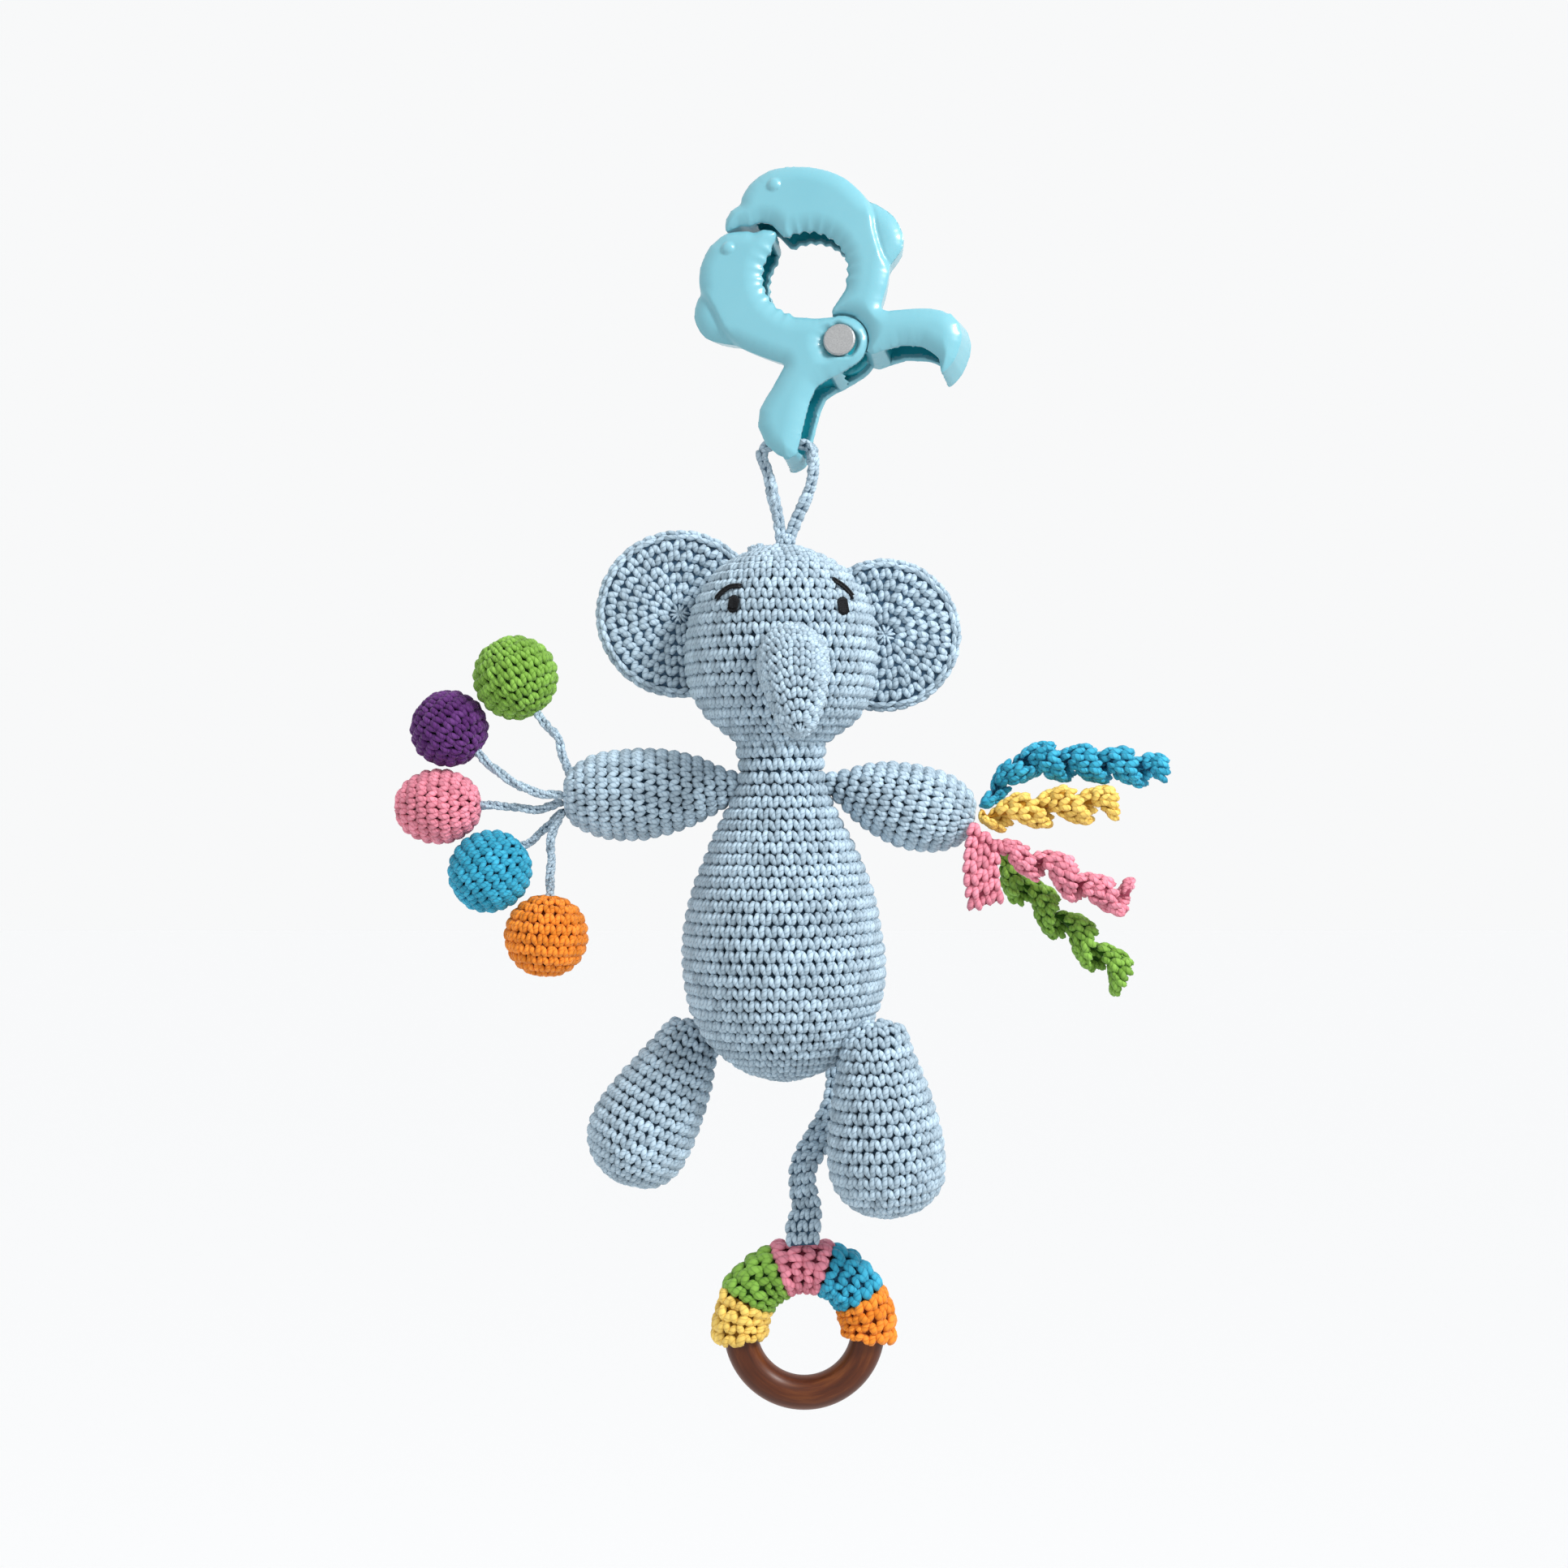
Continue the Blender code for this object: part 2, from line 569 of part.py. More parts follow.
def make_loop():
    """A crocheted loop through the handle's hole. Its two ends meet at the knot on the head."""
    over = ((-14.4, 0.0, -61.0), (-13.4, 0.0, -57.8), (-9.8, 0.0, LOOP_LEVEL), (-5.6, 0.0, LOOP_LEVEL + 0.2),
            (-1.4, 0.0, LOOP_LEVEL), (1.7, 0.0, -57.8), (2.6, 0.0, -60.8))  # fmt: skip
    turned_over = [CLIP_TILT.to_matrix() @ Vector(p) for p in over]
    up = [(-9.9, 0.0, -87.2), (-10.4, -1.0, -81.0), (-11.9, -2.6, -74.0), (-13.2, -4.2, -67.0)]
    down = [(1.2, -5.0, -67.0), (-0.8, -2.8, -74.0), (-3.8, -1.0, -81.0), (-5.7, 0.0, -87.2)]
    route = smooth_route([*up, *turned_over, *down], 3.4)
    tube("hanging_loop", route, [LOOP_RADIUS] * len(route), "blue_yarn")
    knot = turned("loop_knot", [(0, 2.2), (2.6, 1.7), (3.8, 0), (2.6, -1.7), (0, -2.2)], 12)
    knot.location = mm(-7.8, 0, -89.9)
    place(knot, "blue_yarn")


def on_head(x, z, lift):
    """A point this far off the front of the head's cover, above the surface point at x and z."""
    along = z - HEAD_START[2]
    for (low, low_radius), (high, high_radius) in zip(HEAD_PROFILE, HEAD_PROFILE[1:]):
        if low <= along <= high:
            slope = (high_radius - low_radius) / (high - low)
            radius = low_radius + slope * (along - low)
    side = x - HEAD_START[0]
    front = -math.sqrt(radius**2 - side**2)
    outwards = Vector((side / radius, front / radius, -slope)).normalized()
    return Vector((x, front, z)) + outwards * lift


def make_face():
    """Black thread: an upright bar for each eye and a raised, bent line for each brow."""
    eyes = {
        "right_eye": ((-24.6, -109.2), (-24.8, -112.0), (-24.8, -115.0)),
        "left_eye": ((10.8, -109.8), (11.3, -112.6), (11.4, -115.4)),
    }
    brows = {
        "right_eyebrow": ((-30.2, -110.6), (-28.5, -107.9), (-25.0, -106.0), (-21.3, -105.7)),
        "left_eyebrow": ((6.4, -103.3), (9.2, -104.8), (11.9, -106.7), (14.6, -110.2)),
    }
    for name, points in eyes.items():
        route = [on_head(x, z, 1.6) for x, z in points]
        tube(name, route, [0.8, 1.1, 0.8], "black_thread", 1)
    for name, points in brows.items():
        route = smooth_route([on_head(x, z, 1.2) for x, z in points], 3.0)
        tube(name, route, [0.6] * len(route), "black_thread", 1)


def head_clearance(name, distance):
    """The head's outer shape, grown by a distance, to cut what is sewn onto it."""
    grown = inset(HEAD_PROFILE, -distance)
    core = [(0.0, distance)] + [(r, -d) for d, r in grown]
    return cutter(aim(turned(name, core, 24), HEAD_START, HEAD_END))


def make_head():
    cover_and_filling("head", HEAD_START, HEAD_END, HEAD_PROFILE, "blue_yarn", 20)
    make_face()
    room = head_clearance("head_room", GAP + 0.2)
    for piece in cover_and_filling("trunk", TRUNK_START, TRUNK_END, TRUNK_PROFILE, "blue_yarn", 16):
        combine(piece, [room], "DIFFERENCE")
    ear_room = head_clearance("ear_room", EAR_CLEARANCE)
    for name, ((x, z), radius) in EARS.items():
        low = EAR_BACK - EAR_THICKNESS / 2
        ear = cylinder(name, radius, low, low + EAR_THICKNESS, (x, z), 28)
        combine(ear, [ear_room], "DIFFERENCE")
        place(ear, "blue_yarn")


# ---------------------------------------------------------------- the body and its limbs


def thinner(sections, length, distance):
    """Elliptical sections moved inwards by a distance."""
    widths = inset([(d, w) for d, w, t in sections] + [(length, 0)], distance)
    depths = inset([(d, t) for d, w, t in sections] + [(length, 0)], distance)
    return [(d, w, t) for (d, w), (_, t) in zip(widths[:-1], depths[:-1])]


def make_limbs():
    cover_and_filling("body", BODY_START, BODY_END, BODY_PROFILE, "blue_yarn", 20)
    cover_and_filling("right_arm", RIGHT_SHOULDER, RIGHT_HAND, ARM_PROFILE, "blue_yarn", 16)
    reach = (Vector(LEFT_HAND) - Vector(LEFT_SHOULDER)).length / ARM_PROFILE[-1][0]
    shorter = [(d * reach, r * 0.93) for d, r in ARM_PROFILE]
    cover_and_filling("left_arm", LEFT_SHOULDER, LEFT_HAND, shorter, "blue_yarn", 16)
    for name, (hip, foot, scale) in LEGS.items():
        outside = [(d * scale, w * scale, t * scale) for d, w, t in LEG_SECTIONS]
        length = LEG_LENGTH * scale
        inside = thinner(outside, length, COVER_WALL)
        core = thinner(outside, length, COVER_WALL + GAP)[1:]
        shell = inside[::-1] + outside
        cover = loft(name + "_cover", length - COVER_WALL, shell, length, LEG_SIDES)
        filling = loft(name + "_filling", core[0][0], core, length - COVER_WALL - GAP, LEG_SIDES)
        place(aim(cover, hip, foot), "blue_yarn")
        place(aim(filling, hip, foot), "filling")


# ---------------------------------------------------------------- the tail and the teething ring


def make_tail_and_ring():
    route = smooth_route(TAIL_ROUTE, 6.0)
    radii = [TAIL_RADIUS] * len(route)
    radii[0] = TAIL_RADIUS - 2.0
    radii[-2:] = (TAIL_RADIUS - 1.2, TAIL_RADIUS - 3.2)
    tube("tail", route, radii, "blue_yarn")
    bpy.ops.mesh.primitive_torus_add(
        major_segments=28,
        minor_segments=10,
        major_radius=RING_RADIUS * MM,
        minor_radius=RING_THICKNESS * MM,
        location=mm(*RING_CENTRE),
        rotation=(math.radians(90), 0, 0),
    )
    ring = bpy.context.object
    ring.name = "teether_ring"
    for owner in list(ring.users_collection):
        owner.objects.unlink(ring)
    place(ring, "wood")
    yarns = ("yellow", "green", "pink", "blue", "orange")
    for yarn, start, end in zip(yarns, SLEEVE_ENDS, SLEEVE_ENDS[1:]):
        make_band("sleeve_band_" + yarn, start, end, "yarn_" + yarn)


def make_band(name, start, end, yarn):
    """A stretch of the ring's sleeve: a tube with a thick wall, between two angles in degrees."""
    mesh = bpy.data.meshes.new(name)
    sides = SLEEVE_SIDES
    turns = [-2 * math.pi * i / sides for i in range(sides)]
    spots = [mm(RING_RADIUS + SLEEVE_OUTSIDE * math.cos(a), 0, SLEEVE_OUTSIDE * math.sin(a)) for a in turns]
    mesh.from_pydata(spots, [(i, (i + 1) % sides) for i in range(sides)], [])
    band = bpy.data.objects.new(name, mesh)
    half_gap = math.degrees(GAP / 2 / (RING_RADIUS - SLEEVE_OUTSIDE))
    sweep = band.modifiers.new("sweep", "SCREW")
    sweep.angle = math.radians(start - end - 2 * half_gap)
    sweep.steps = sweep.render_steps = max(3, round((start - end) / 9))
    sweep.use_merge_vertices = False
    sweep.use_smooth_shade = True
    wall = band.modifiers.new("wall", "SOLIDIFY")
    wall.thickness = (SLEEVE_OUTSIDE - RING_THICKNESS - SLEEVE_ROOM) * MM
    wall.offset = -1
    # The screw turns about local z, which lies along the ring's own axis, from the end angle up
    band.rotation_euler = (math.radians(90), math.radians(-end - half_gap), 0)
    band.location = mm(*RING_CENTRE)
    place(band, yarn)


# ---------------------------------------------------------------- the balls and the streamers


def make_balls():
    for colour, (middle, half_length, half_width, route) in BALLS.items():
        path = smooth_route(route, 3.2)
        tube(colour + "_cord", path, [CORD_RADIUS] * len(path), "blue_yarn")
        way = (Vector(middle) - Vector(route[-1])).normalized()
        opening = math.asin(BALL_OPENING / half_width)
        angles = [opening + (math.pi - opening) * i / BALL_RINGS for i in range(BALL_RINGS + 1)]
        profile = [(half_length * (1 - math.cos(a)), half_width * math.sin(a)) for a in angles]
        profile[-1] = (2 * half_length, 0.0)
        start = Vector(middle) - way * half_length
        end = Vector(middle) + way * half_length
        cover_and_filling(colour + "_ball", start, end, profile, "yarn_" + colour, BALL_STEPS)


def make_streamers():
    for colour, points in STREAMERS.items():
        route = smooth_route(points, 7.0)
        tube(colour + "_streamer", [p.xyz for p in route], [p.w for p in route], "yarn_" + colour)


clear_scene()
PARTS = collection("crocheted_elephant_toy")
CUTTERS = collection("cutters")
make_clip()
make_loop()
make_head()
make_limbs()
make_tail_and_ring()
make_balls()
make_streamers()
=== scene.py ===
# %% [markdown]
# # A crocheted elephant on a stroller clip
#
# This lesson dresses a finished mechanical model. Every piece made here rides on one of those parts and
# hides the plain solid that it stands for. Lengths are in metres, +Z is up and the face looks along -Y.

# %% Load the frame
import math
from functools import partial

import bmesh
import bpy
import numpy as np
from mathutils import Euler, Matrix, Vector
from mathutils.kdtree import KDTree


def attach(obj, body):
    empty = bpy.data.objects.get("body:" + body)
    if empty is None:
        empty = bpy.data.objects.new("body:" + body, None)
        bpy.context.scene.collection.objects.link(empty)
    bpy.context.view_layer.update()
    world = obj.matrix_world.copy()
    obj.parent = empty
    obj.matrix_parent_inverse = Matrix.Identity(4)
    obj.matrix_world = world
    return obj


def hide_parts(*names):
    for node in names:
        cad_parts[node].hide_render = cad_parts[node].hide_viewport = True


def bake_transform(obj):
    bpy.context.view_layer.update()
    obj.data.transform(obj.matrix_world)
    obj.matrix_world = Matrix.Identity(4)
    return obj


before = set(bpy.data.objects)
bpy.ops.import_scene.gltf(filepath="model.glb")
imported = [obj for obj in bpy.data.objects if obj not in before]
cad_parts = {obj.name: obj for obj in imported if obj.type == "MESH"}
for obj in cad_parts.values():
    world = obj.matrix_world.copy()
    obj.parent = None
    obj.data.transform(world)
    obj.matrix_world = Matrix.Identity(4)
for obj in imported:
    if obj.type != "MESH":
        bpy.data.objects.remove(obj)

MM = 0.001
SCENE = bpy.context.scene
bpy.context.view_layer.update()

# %% [markdown]
# ## Camera
#
# The toy is seen straight from the front. The camera stands 0.72 m away, and its lens is worked out from
# the width that the picture has to hold at the toy.

# %% Camera
CAMERA_DISTANCE = 0.72
PICTURE_WIDTH = 0.5313
SENSOR = 36.0


def toy_centre():
    """The middle of the picture: a little to the side of the clip, half way down the whole toy."""
    return Vector((-0.00825, 0.0, -0.1708))


camera_data = bpy.data.cameras.new("camera")
camera_data.sensor_width = SENSOR
camera_data.lens = SENSOR * CAMERA_DISTANCE / PICTURE_WIDTH
camera = bpy.data.objects.new("camera", camera_data)
camera.location = toy_centre() + Vector((0, -CAMERA_DISTANCE, 0))
camera.rotation_euler = (math.radians(90), 0, 0)
SCENE.collection.objects.link(camera)
SCENE.camera = camera
print("lens:", round(camera_data.lens, 1), "mm")

# %% [markdown]
# ## Studio
#
# A pale floor far below the toy and a bright pale world of the same tone make a plain backdrop from every
# side, and the world is the fill. A big soft lamp stands up and to the right.

# %% Floor and lights
WHITE = (0.94, 0.945, 0.95)
SCENE.view_settings.view_transform = "Standard"


def matte(name, colour, glow=0.0):
    made = bpy.data.materials.new(name)
    made.use_nodes = True
    shader = made.node_tree.nodes["Principled BSDF"]
    shader.inputs["Base Color"].default_value = (*colour, 1.0)
    shader.inputs["Roughness"].default_value = 0.9
    shader.inputs["Emission Color"].default_value = (1.0, 1.0, 1.0, 1.0)
    shader.inputs["Emission Strength"].default_value = glow
    return made


def lamp(name, place, size, power, target=(-0.008, 0.0, -0.17)):
    data = bpy.data.lights.new(name, "AREA")
    data.shape = "DISK"
    data.size = size
    data.energy = power
    made = bpy.data.objects.new(name, data)
    made.location = place
    made.rotation_euler = (Vector(target) - Vector(place)).to_track_quat("-Z", "Y").to_euler()
    SCENE.collection.objects.link(made)
    return made


FLOOR_HALF = 20.0
FLOOR_LEVEL = -1.6
floor_mesh = bpy.data.meshes.new("floor")
floor_turns = ((-1, -1), (1, -1), (1, 1), (-1, 1))
floor_corners = [(x * FLOOR_HALF, y * FLOOR_HALF, FLOOR_LEVEL) for x, y in floor_turns]
floor_mesh.from_pydata(floor_corners, [], [(0, 1, 2, 3)])
floor_mesh.materials.append(matte("paper", (0.95, 0.955, 0.96), glow=0.045))
floor = bpy.data.objects.new("floor", floor_mesh)
SCENE.collection.objects.link(floor)

world = bpy.data.worlds.new("studio")
world.use_nodes = True
world.node_tree.nodes["Background"].inputs["Color"].default_value = (*WHITE, 1.0)
world.node_tree.nodes["Background"].inputs["Strength"].default_value = 1.0
SCENE.world = world
lamp("key", (0.75, -0.65, 0.55), 0.4, 15.0)

# %% [markdown]
# ## A helper for node trees
#
# Shader trees and geometry trees are wired alike. One helper makes a node, sets its properties, and for
# each input either links a socket or sets a value.


# %% Node helper
def add(tree, kind, inputs=None, **settings):
    made = tree.nodes.new(kind)
    for key, value in settings.items():
        setattr(made, key, value)
    for key, value in (inputs or {}).items():
        if isinstance(value, bpy.types.NodeSocket):
            tree.links.new(value, made.inputs[key])
        else:
            made.inputs[key].default_value = value
    return made


def calculate(tree, operation, *values):
    """A Math node's result."""
    return add(tree, "ShaderNodeMath", dict(enumerate(values)), operation=operation).outputs[0]


def new_material(name):
    made = bpy.data.materials.new(name)
    made.use_nodes = True
    tree = made.node_tree
    shader = tree.nodes["Principled BSDF"]
    return made, tree, shader


def noise(tree, spot, scale, **more):
    """A noise texture's value."""
    return add(tree, "ShaderNodeTexNoise", {"Vector": spot, "Scale": scale, **more}).outputs["Fac"]


def mix(tree, factor, low, high):
    """A colour between two, each of which is a socket or three linear numbers."""
    low, high = (c if isinstance(c, bpy.types.NodeSocket) else (*c, 1.0) for c in (low, high))
    return add(tree, "ShaderNodeMix", {"Factor": factor, 6: low, 7: high}, data_type="RGBA").outputs[2]


def finish_material(tree, shader, colour, height, strength, distance, **settings):
    """Wires the colour and the bump, and sets the shader's other inputs. Underscores stand for spaces."""
    tree.links.new(colour, shader.inputs["Base Color"])
    bump = add(tree, "ShaderNodeBump", {"Height": height, "Strength": strength, "Distance": distance})
    tree.links.new(bump.outputs[0], shader.inputs["Normal"])
    for key, value in settings.items():
        shader.inputs[key.replace("_", " ")].default_value = value


def along_and_round(tree):
    """The sockets of a strand's UV map: along it (X) and round it (Y)."""
    place = add(tree, "ShaderNodeUVMap", uv_map="UVMap").outputs[0]
    return add(tree, "ShaderNodeSeparateXYZ", {0: place}).outputs


# %% [markdown]
# ## Yarn
#
# The cotton is spun from a few plies, and light catches each ply in a slanted stripe. Every strand has a UV
# map that runs along it (x) and round it (y), so a saw-tooth of the two gives the plies. They shape the bump,
# and painted shade darkens the grooves between them and both ends of each strand. Each stitch also carries a
# number called shade: it varies the colour from stitch to stitch at random, and the surface behind the
# stitches has -1, which paints it in the yarn's shade colour, a painted shade for what is seen through the holes.


# %% Yarn
PLIES_ALONG = 3.6
PLIES_ROUND = 2.0


def yarn(name, colour, deep_shade):
    made, tree, shader = new_material(name)
    calc = partial(calculate, tree)
    strand_uv = along_and_round(tree)
    along = calc("MULTIPLY", strand_uv["X"], PLIES_ALONG)
    slant = calc("ADD", along, calc("MULTIPLY", strand_uv["Y"], PLIES_ROUND))
    across = calc("SUBTRACT", calc("MULTIPLY", calc("FRACT", slant), 2.0), 1.0)
    ply = calc("SQRT", calc("SUBTRACT", 1.02, calc("POWER", across, 2.0)))

    spot = add(tree, "ShaderNodeTexCoord").outputs["Object"]
    fuzz = noise(tree, spot, 2600.0, Detail=3.0, Roughness=0.7)
    patch = noise(tree, spot, 60.0, Detail=2.0)
    shade = add(tree, "ShaderNodeAttribute", attribute_name="shade").outputs["Fac"]

    light = tuple(min(1.0, c * 1.22 + 0.02) for c in colour)
    dark = tuple(c * 0.72 + d * 0.12 for c, d in zip(colour, deep_shade))
    stitch = mix(tree, calc("MAXIMUM", shade, 0.0), dark, light)
    clouds = mix(tree, calc("MULTIPLY", patch, 0.5), stitch, colour)
    # painted shade: the grooves between the plies and both ends of each strand, where it tucks under, are darkened
    # towards the shade colour
    groove_shade = calc("MULTIPLY", calc("POWER", calc("SUBTRACT", 1.0, ply), 1.6), 0.7)
    middle = calc("ABSOLUTE", calc("SUBTRACT", strand_uv["X"], 0.52))
    tuck_shade = calc("MULTIPLY", calc("POWER", calc("MULTIPLY", middle, 2.0), 3.0), 0.6)
    ply_shaded = mix(tree, calc("MAXIMUM", groove_shade, tuck_shade), clouds, deep_shade)
    # painted shade: the surface behind, whose shade is -1, takes the shade colour seen through the holes
    final = mix(tree, calc("LESS_THAN", shade, -0.5), ply_shaded, deep_shade)
    height = calc("ADD", ply, calc("MULTIPLY", fuzz, 0.5))
    finish_material(tree, shader, final, height, 0.8, 0.00022,
                    Roughness=0.62, Specular_IOR_Level=0.25, Sheen_Weight=0.1, Sheen_Roughness=0.4)  # fmt: skip
    return made


def linear(*bytes_):
    """An sRGB colour of 0 to 255 as the linear numbers that a shader takes."""
    shares = [b / 255 for b in bytes_]
    return tuple(s / 12.92 if s <= 0.04045 else ((s + 0.055) / 1.055) ** 2.4 for s in shares)


# each yarn's second colour is its painted shade colour, for the ply grooves, the strand ends and the surface behind
YARNS = {
    "blue_yarn": yarn("blue_yarn", linear(170, 191, 205), linear(44, 72, 94)),
    "yarn_green": yarn("yarn_green", linear(122, 168, 62), linear(38, 82, 6)),
    "yarn_purple": yarn("yarn_purple", linear(84, 26, 104), linear(22, 2, 40)),
    "yarn_pink": yarn("yarn_pink", linear(222, 136, 154), linear(132, 46, 68)),
    "yarn_blue": yarn("yarn_blue", linear(44, 160, 192), linear(0, 74, 106)),
    "yarn_orange": yarn("yarn_orange", linear(234, 136, 30), linear(148, 60, 0)),
    "yarn_yellow": yarn("yarn_yellow", linear(236, 200, 102), linear(170, 118, 20)),
}
print("yarns:", len(YARNS))

# %% [markdown]
# ## One stitch
#
# A single crochet stitch shows its front as a V: two plump legs that lean out from a point. The leg is a
# short tapered tube round a curved line. It's repeated thousands of times, so it has only a few dozen faces,
# and smooth shading makes it round. Stitches are 4.15 mm wide and the rows are 4.15 mm apart.

# %% The V stitch
GAUGE = 4.15 * MM  # one stitch wide, and one row high
LEG_SIDES = 6
LEG_STEPS = 6


def strand(verts, faces, spots, radii, sides):
    """Adds a closed tapered tube through spots. Returns (u, v) for each face corner, in order."""
    spots = [Vector(s) for s in spots]
    first = len(verts)
    count = len(spots)
    uvs = []
    for i in range(1, count - 1):
        way = (spots[i + 1] - spots[i - 1]).normalized()
        side = way.cross(Vector((0, 0, 1))).normalized()
        out = side.cross(way)
        for k in range(sides):
            a = 2 * math.pi * k / sides
            verts.append(spots[i] + (side * math.cos(a) + out * math.sin(a)) * radii[i])
    tail, tip = len(verts), len(verts) + 1
    verts.extend((spots[0], spots[-1]))
    for k in range(sides):
        n = (k + 1) % sides
        v0, v1 = k / sides, (k + 1) / sides
        faces.append((tail, first + n, first + k))
        uvs.append([(0.0, (v0 + v1) / 2), (1 / (count - 1), v1), (1 / (count - 1), v0)])
        for i in range(count - 3):
            a, b = first + i * sides, first + (i + 1) * sides
            u0, u1 = (i + 1) / (count - 1), (i + 2) / (count - 1)
            faces.append((a + k, a + n, b + n, b + k))
            uvs.append([(u0, v0), (u0, v1), (u1, v1), (u1, v0)])
        last = first + (count - 3) * sides
        faces.append((last + k, last + n, tip))
        uvs.append([((count - 2) / (count - 1), v0), ((count - 2) / (count - 1), v1), (1.0, (v0 + v1) / 2)])
    return uvs


def strand_object(name, strands, sides):
    """A mesh object of tapered tubes, each given by its spots and radii."""
    verts, faces, uvs = [], [], []
    for spots, radii in strands:
        uvs += strand(verts, faces, spots, radii, sides)
    mesh = bpy.data.meshes.new(name)
    mesh.from_pydata(verts, [], faces)
    layer = mesh.uv_layers.new(name="UVMap")
    flat = [number for corners in uvs for corner in corners for number in corner]
    layer.uv.foreach_set("vector", flat)
    mesh.shade_smooth()
    made = bpy.data.objects.new(name, mesh)
    SCENE.collection.objects.link(made)
    print(name, "strands:", len(strands), "faces:", len(mesh.polygons))
    return made


def v_leg(side, reach=1.0, splay=0.33, tall=1.14):
    """Half of the V, from the point at the bottom to the open top. Splay and tall are shares of the gauge."""
    spots, radii = [], []
    for i in range(LEG_STEPS + 1):
        t = i / LEG_STEPS
        x = side * (0.05 + splay * t**0.8) * GAUGE
        y = tall * (t * reach - 0.54) * GAUGE
        z = (1.75 * math.sin(math.pi * (0.06 + 0.86 * t)) - 1.25) * MM
        spots.append((x, y, z))
        radii.append((0.5 + 0.62 * math.sin(math.pi * (0.12 + 0.76 * t))) * MM)
    return spots, radii


V_STITCH = strand_object("v_stitch", [v_leg(-1), v_leg(1, 0.94)], LEG_SIDES)
WIDE_STITCH = strand_object("wide_stitch", [v_leg(-1, 1.0, 0.44, 0.98), v_leg(1, 0.9, 0.4, 0.98)], LEG_SIDES)

# %% [markdown]
# ## Crochet with Geometry Nodes
#
# A row of crochet is the same stitch again and again, so the stitches are instances on points. Each point
# has two vectors: facing, the Euler angles that stand the stitch on the surface, and size. The tree turns and
# scales each copy a little at random, adds the surface behind with a shade of -1, which the yarn paints in its
# shade colour as painted shade, realizes everything and sets the yarn.


# %% The crochet tree
def named_vector(tree, name):
    return add(tree, "GeometryNodeInputNamedAttribute", {"Name": name}, data_type="FLOAT_VECTOR").outputs[0]


def crochet_tree():
    tree = bpy.data.node_groups.new("crochet", "GeometryNodeTree")
    for name, kind in (
        ("Places", "NodeSocketGeometry"),
        ("Stitch", "NodeSocketObject"),
        ("Behind", "NodeSocketObject"),
        ("Yarn", "NodeSocketMaterial"),
        ("Wobble", "NodeSocketFloat"),
        ("Unevenness", "NodeSocketFloat"),
        ("Seed", "NodeSocketInt"),
    ):
        tree.interface.new_socket(name, in_out="INPUT", socket_type=kind)
    tree.interface.new_socket("Knit", in_out="OUTPUT", socket_type="NodeSocketGeometry")
    given = add(tree, "NodeGroupInput").outputs

    def random_value(kind, low, high, step):
        base = 0 if kind == "FLOAT_VECTOR" else 2
        seed = calculate(tree, "ADD", given["Seed"], float(step))
        made = add(tree, "FunctionNodeRandomValue", {base: low, base + 1: high, "Seed": seed}, data_type=kind)
        return made.outputs[0 if kind == "FLOAT_VECTOR" else 1]

    stand = add(tree, "FunctionNodeEulerToRotation", {0: named_vector(tree, "facing")})
    sway = add(
        tree,
        "ShaderNodeVectorMath",
        {0: random_value("FLOAT_VECTOR", (-1, -1, -1), (1, 1, 1), 0), "Scale": given["Wobble"]},
        operation="SCALE",
    )
    lean = add(tree, "FunctionNodeEulerToRotation", {0: sway.outputs[0]})
    both_turns = {0: stand.outputs[0], 1: lean.outputs[0]}
    turn = add(tree, "FunctionNodeRotateRotation", both_turns, rotation_space="LOCAL")
    spread = calculate(tree, "MULTIPLY", random_value("FLOAT", -1.0, 1.0, 10), given["Unevenness"])
    growth = calculate(tree, "ADD", spread, 1.0)
    size = add(
        tree, "ShaderNodeVectorMath", {0: named_vector(tree, "size"), "Scale": growth}, operation="SCALE"
    )
    stitch = add(tree, "GeometryNodeObjectInfo", {"Object": given["Stitch"], "As Instance": True})
    stitches = add(
        tree,
        "GeometryNodeInstanceOnPoints",
        {
            "Points": given["Places"],
            "Instance": stitch.outputs["Geometry"],
            "Rotation": turn.outputs[0],
            "Scale": size.outputs[0],
        },
    )
    shaded = add(
        tree,
        "GeometryNodeStoreNamedAttribute",
        {"Geometry": stitches.outputs[0], "Name": "shade", "Value": random_value("FLOAT", 0.0, 1.0, 20)},
        data_type="FLOAT",
        domain="INSTANCE",
    )
    behind = add(tree, "GeometryNodeObjectInfo", {"Object": given["Behind"], "As Instance": True})
    # painted shade: the surface behind gets shade -1, which the yarn turns into its shade colour
    dark = add(
        tree,
        "GeometryNodeStoreNamedAttribute",
        {"Geometry": behind.outputs["Geometry"], "Name": "shade", "Value": -1.0},
        data_type="FLOAT",
        domain="INSTANCE",
    )
    both = add(tree, "GeometryNodeJoinGeometry")
    tree.links.new(shaded.outputs[0], both.inputs[0])
    tree.links.new(dark.outputs[0], both.inputs[0])
    real = add(tree, "GeometryNodeRealizeInstances", {0: both.outputs[0]})
    dyed = add(tree, "GeometryNodeSetMaterial", {"Geometry": real.outputs[0], "Material": given["Yarn"]})
    add(tree, "NodeGroupOutput", {0: dyed.outputs[0]})
    return tree


CROCHET = crochet_tree()
print("crochet tree nodes:", len(CROCHET.nodes))

# %% [markdown]
# ## From places to a piece
#
# The places come as numpy arrays: where each stitch is, which way is out, which way is up along the work,
# and its size. One function turns them into a guide mesh of bare points, runs the tree on it and keeps the
# result as a plain mesh.


# %% Places and pieces
def unit_rows(vectors):
    return vectors / np.maximum(np.linalg.norm(vectors, axis=1, keepdims=True), 1e-12)


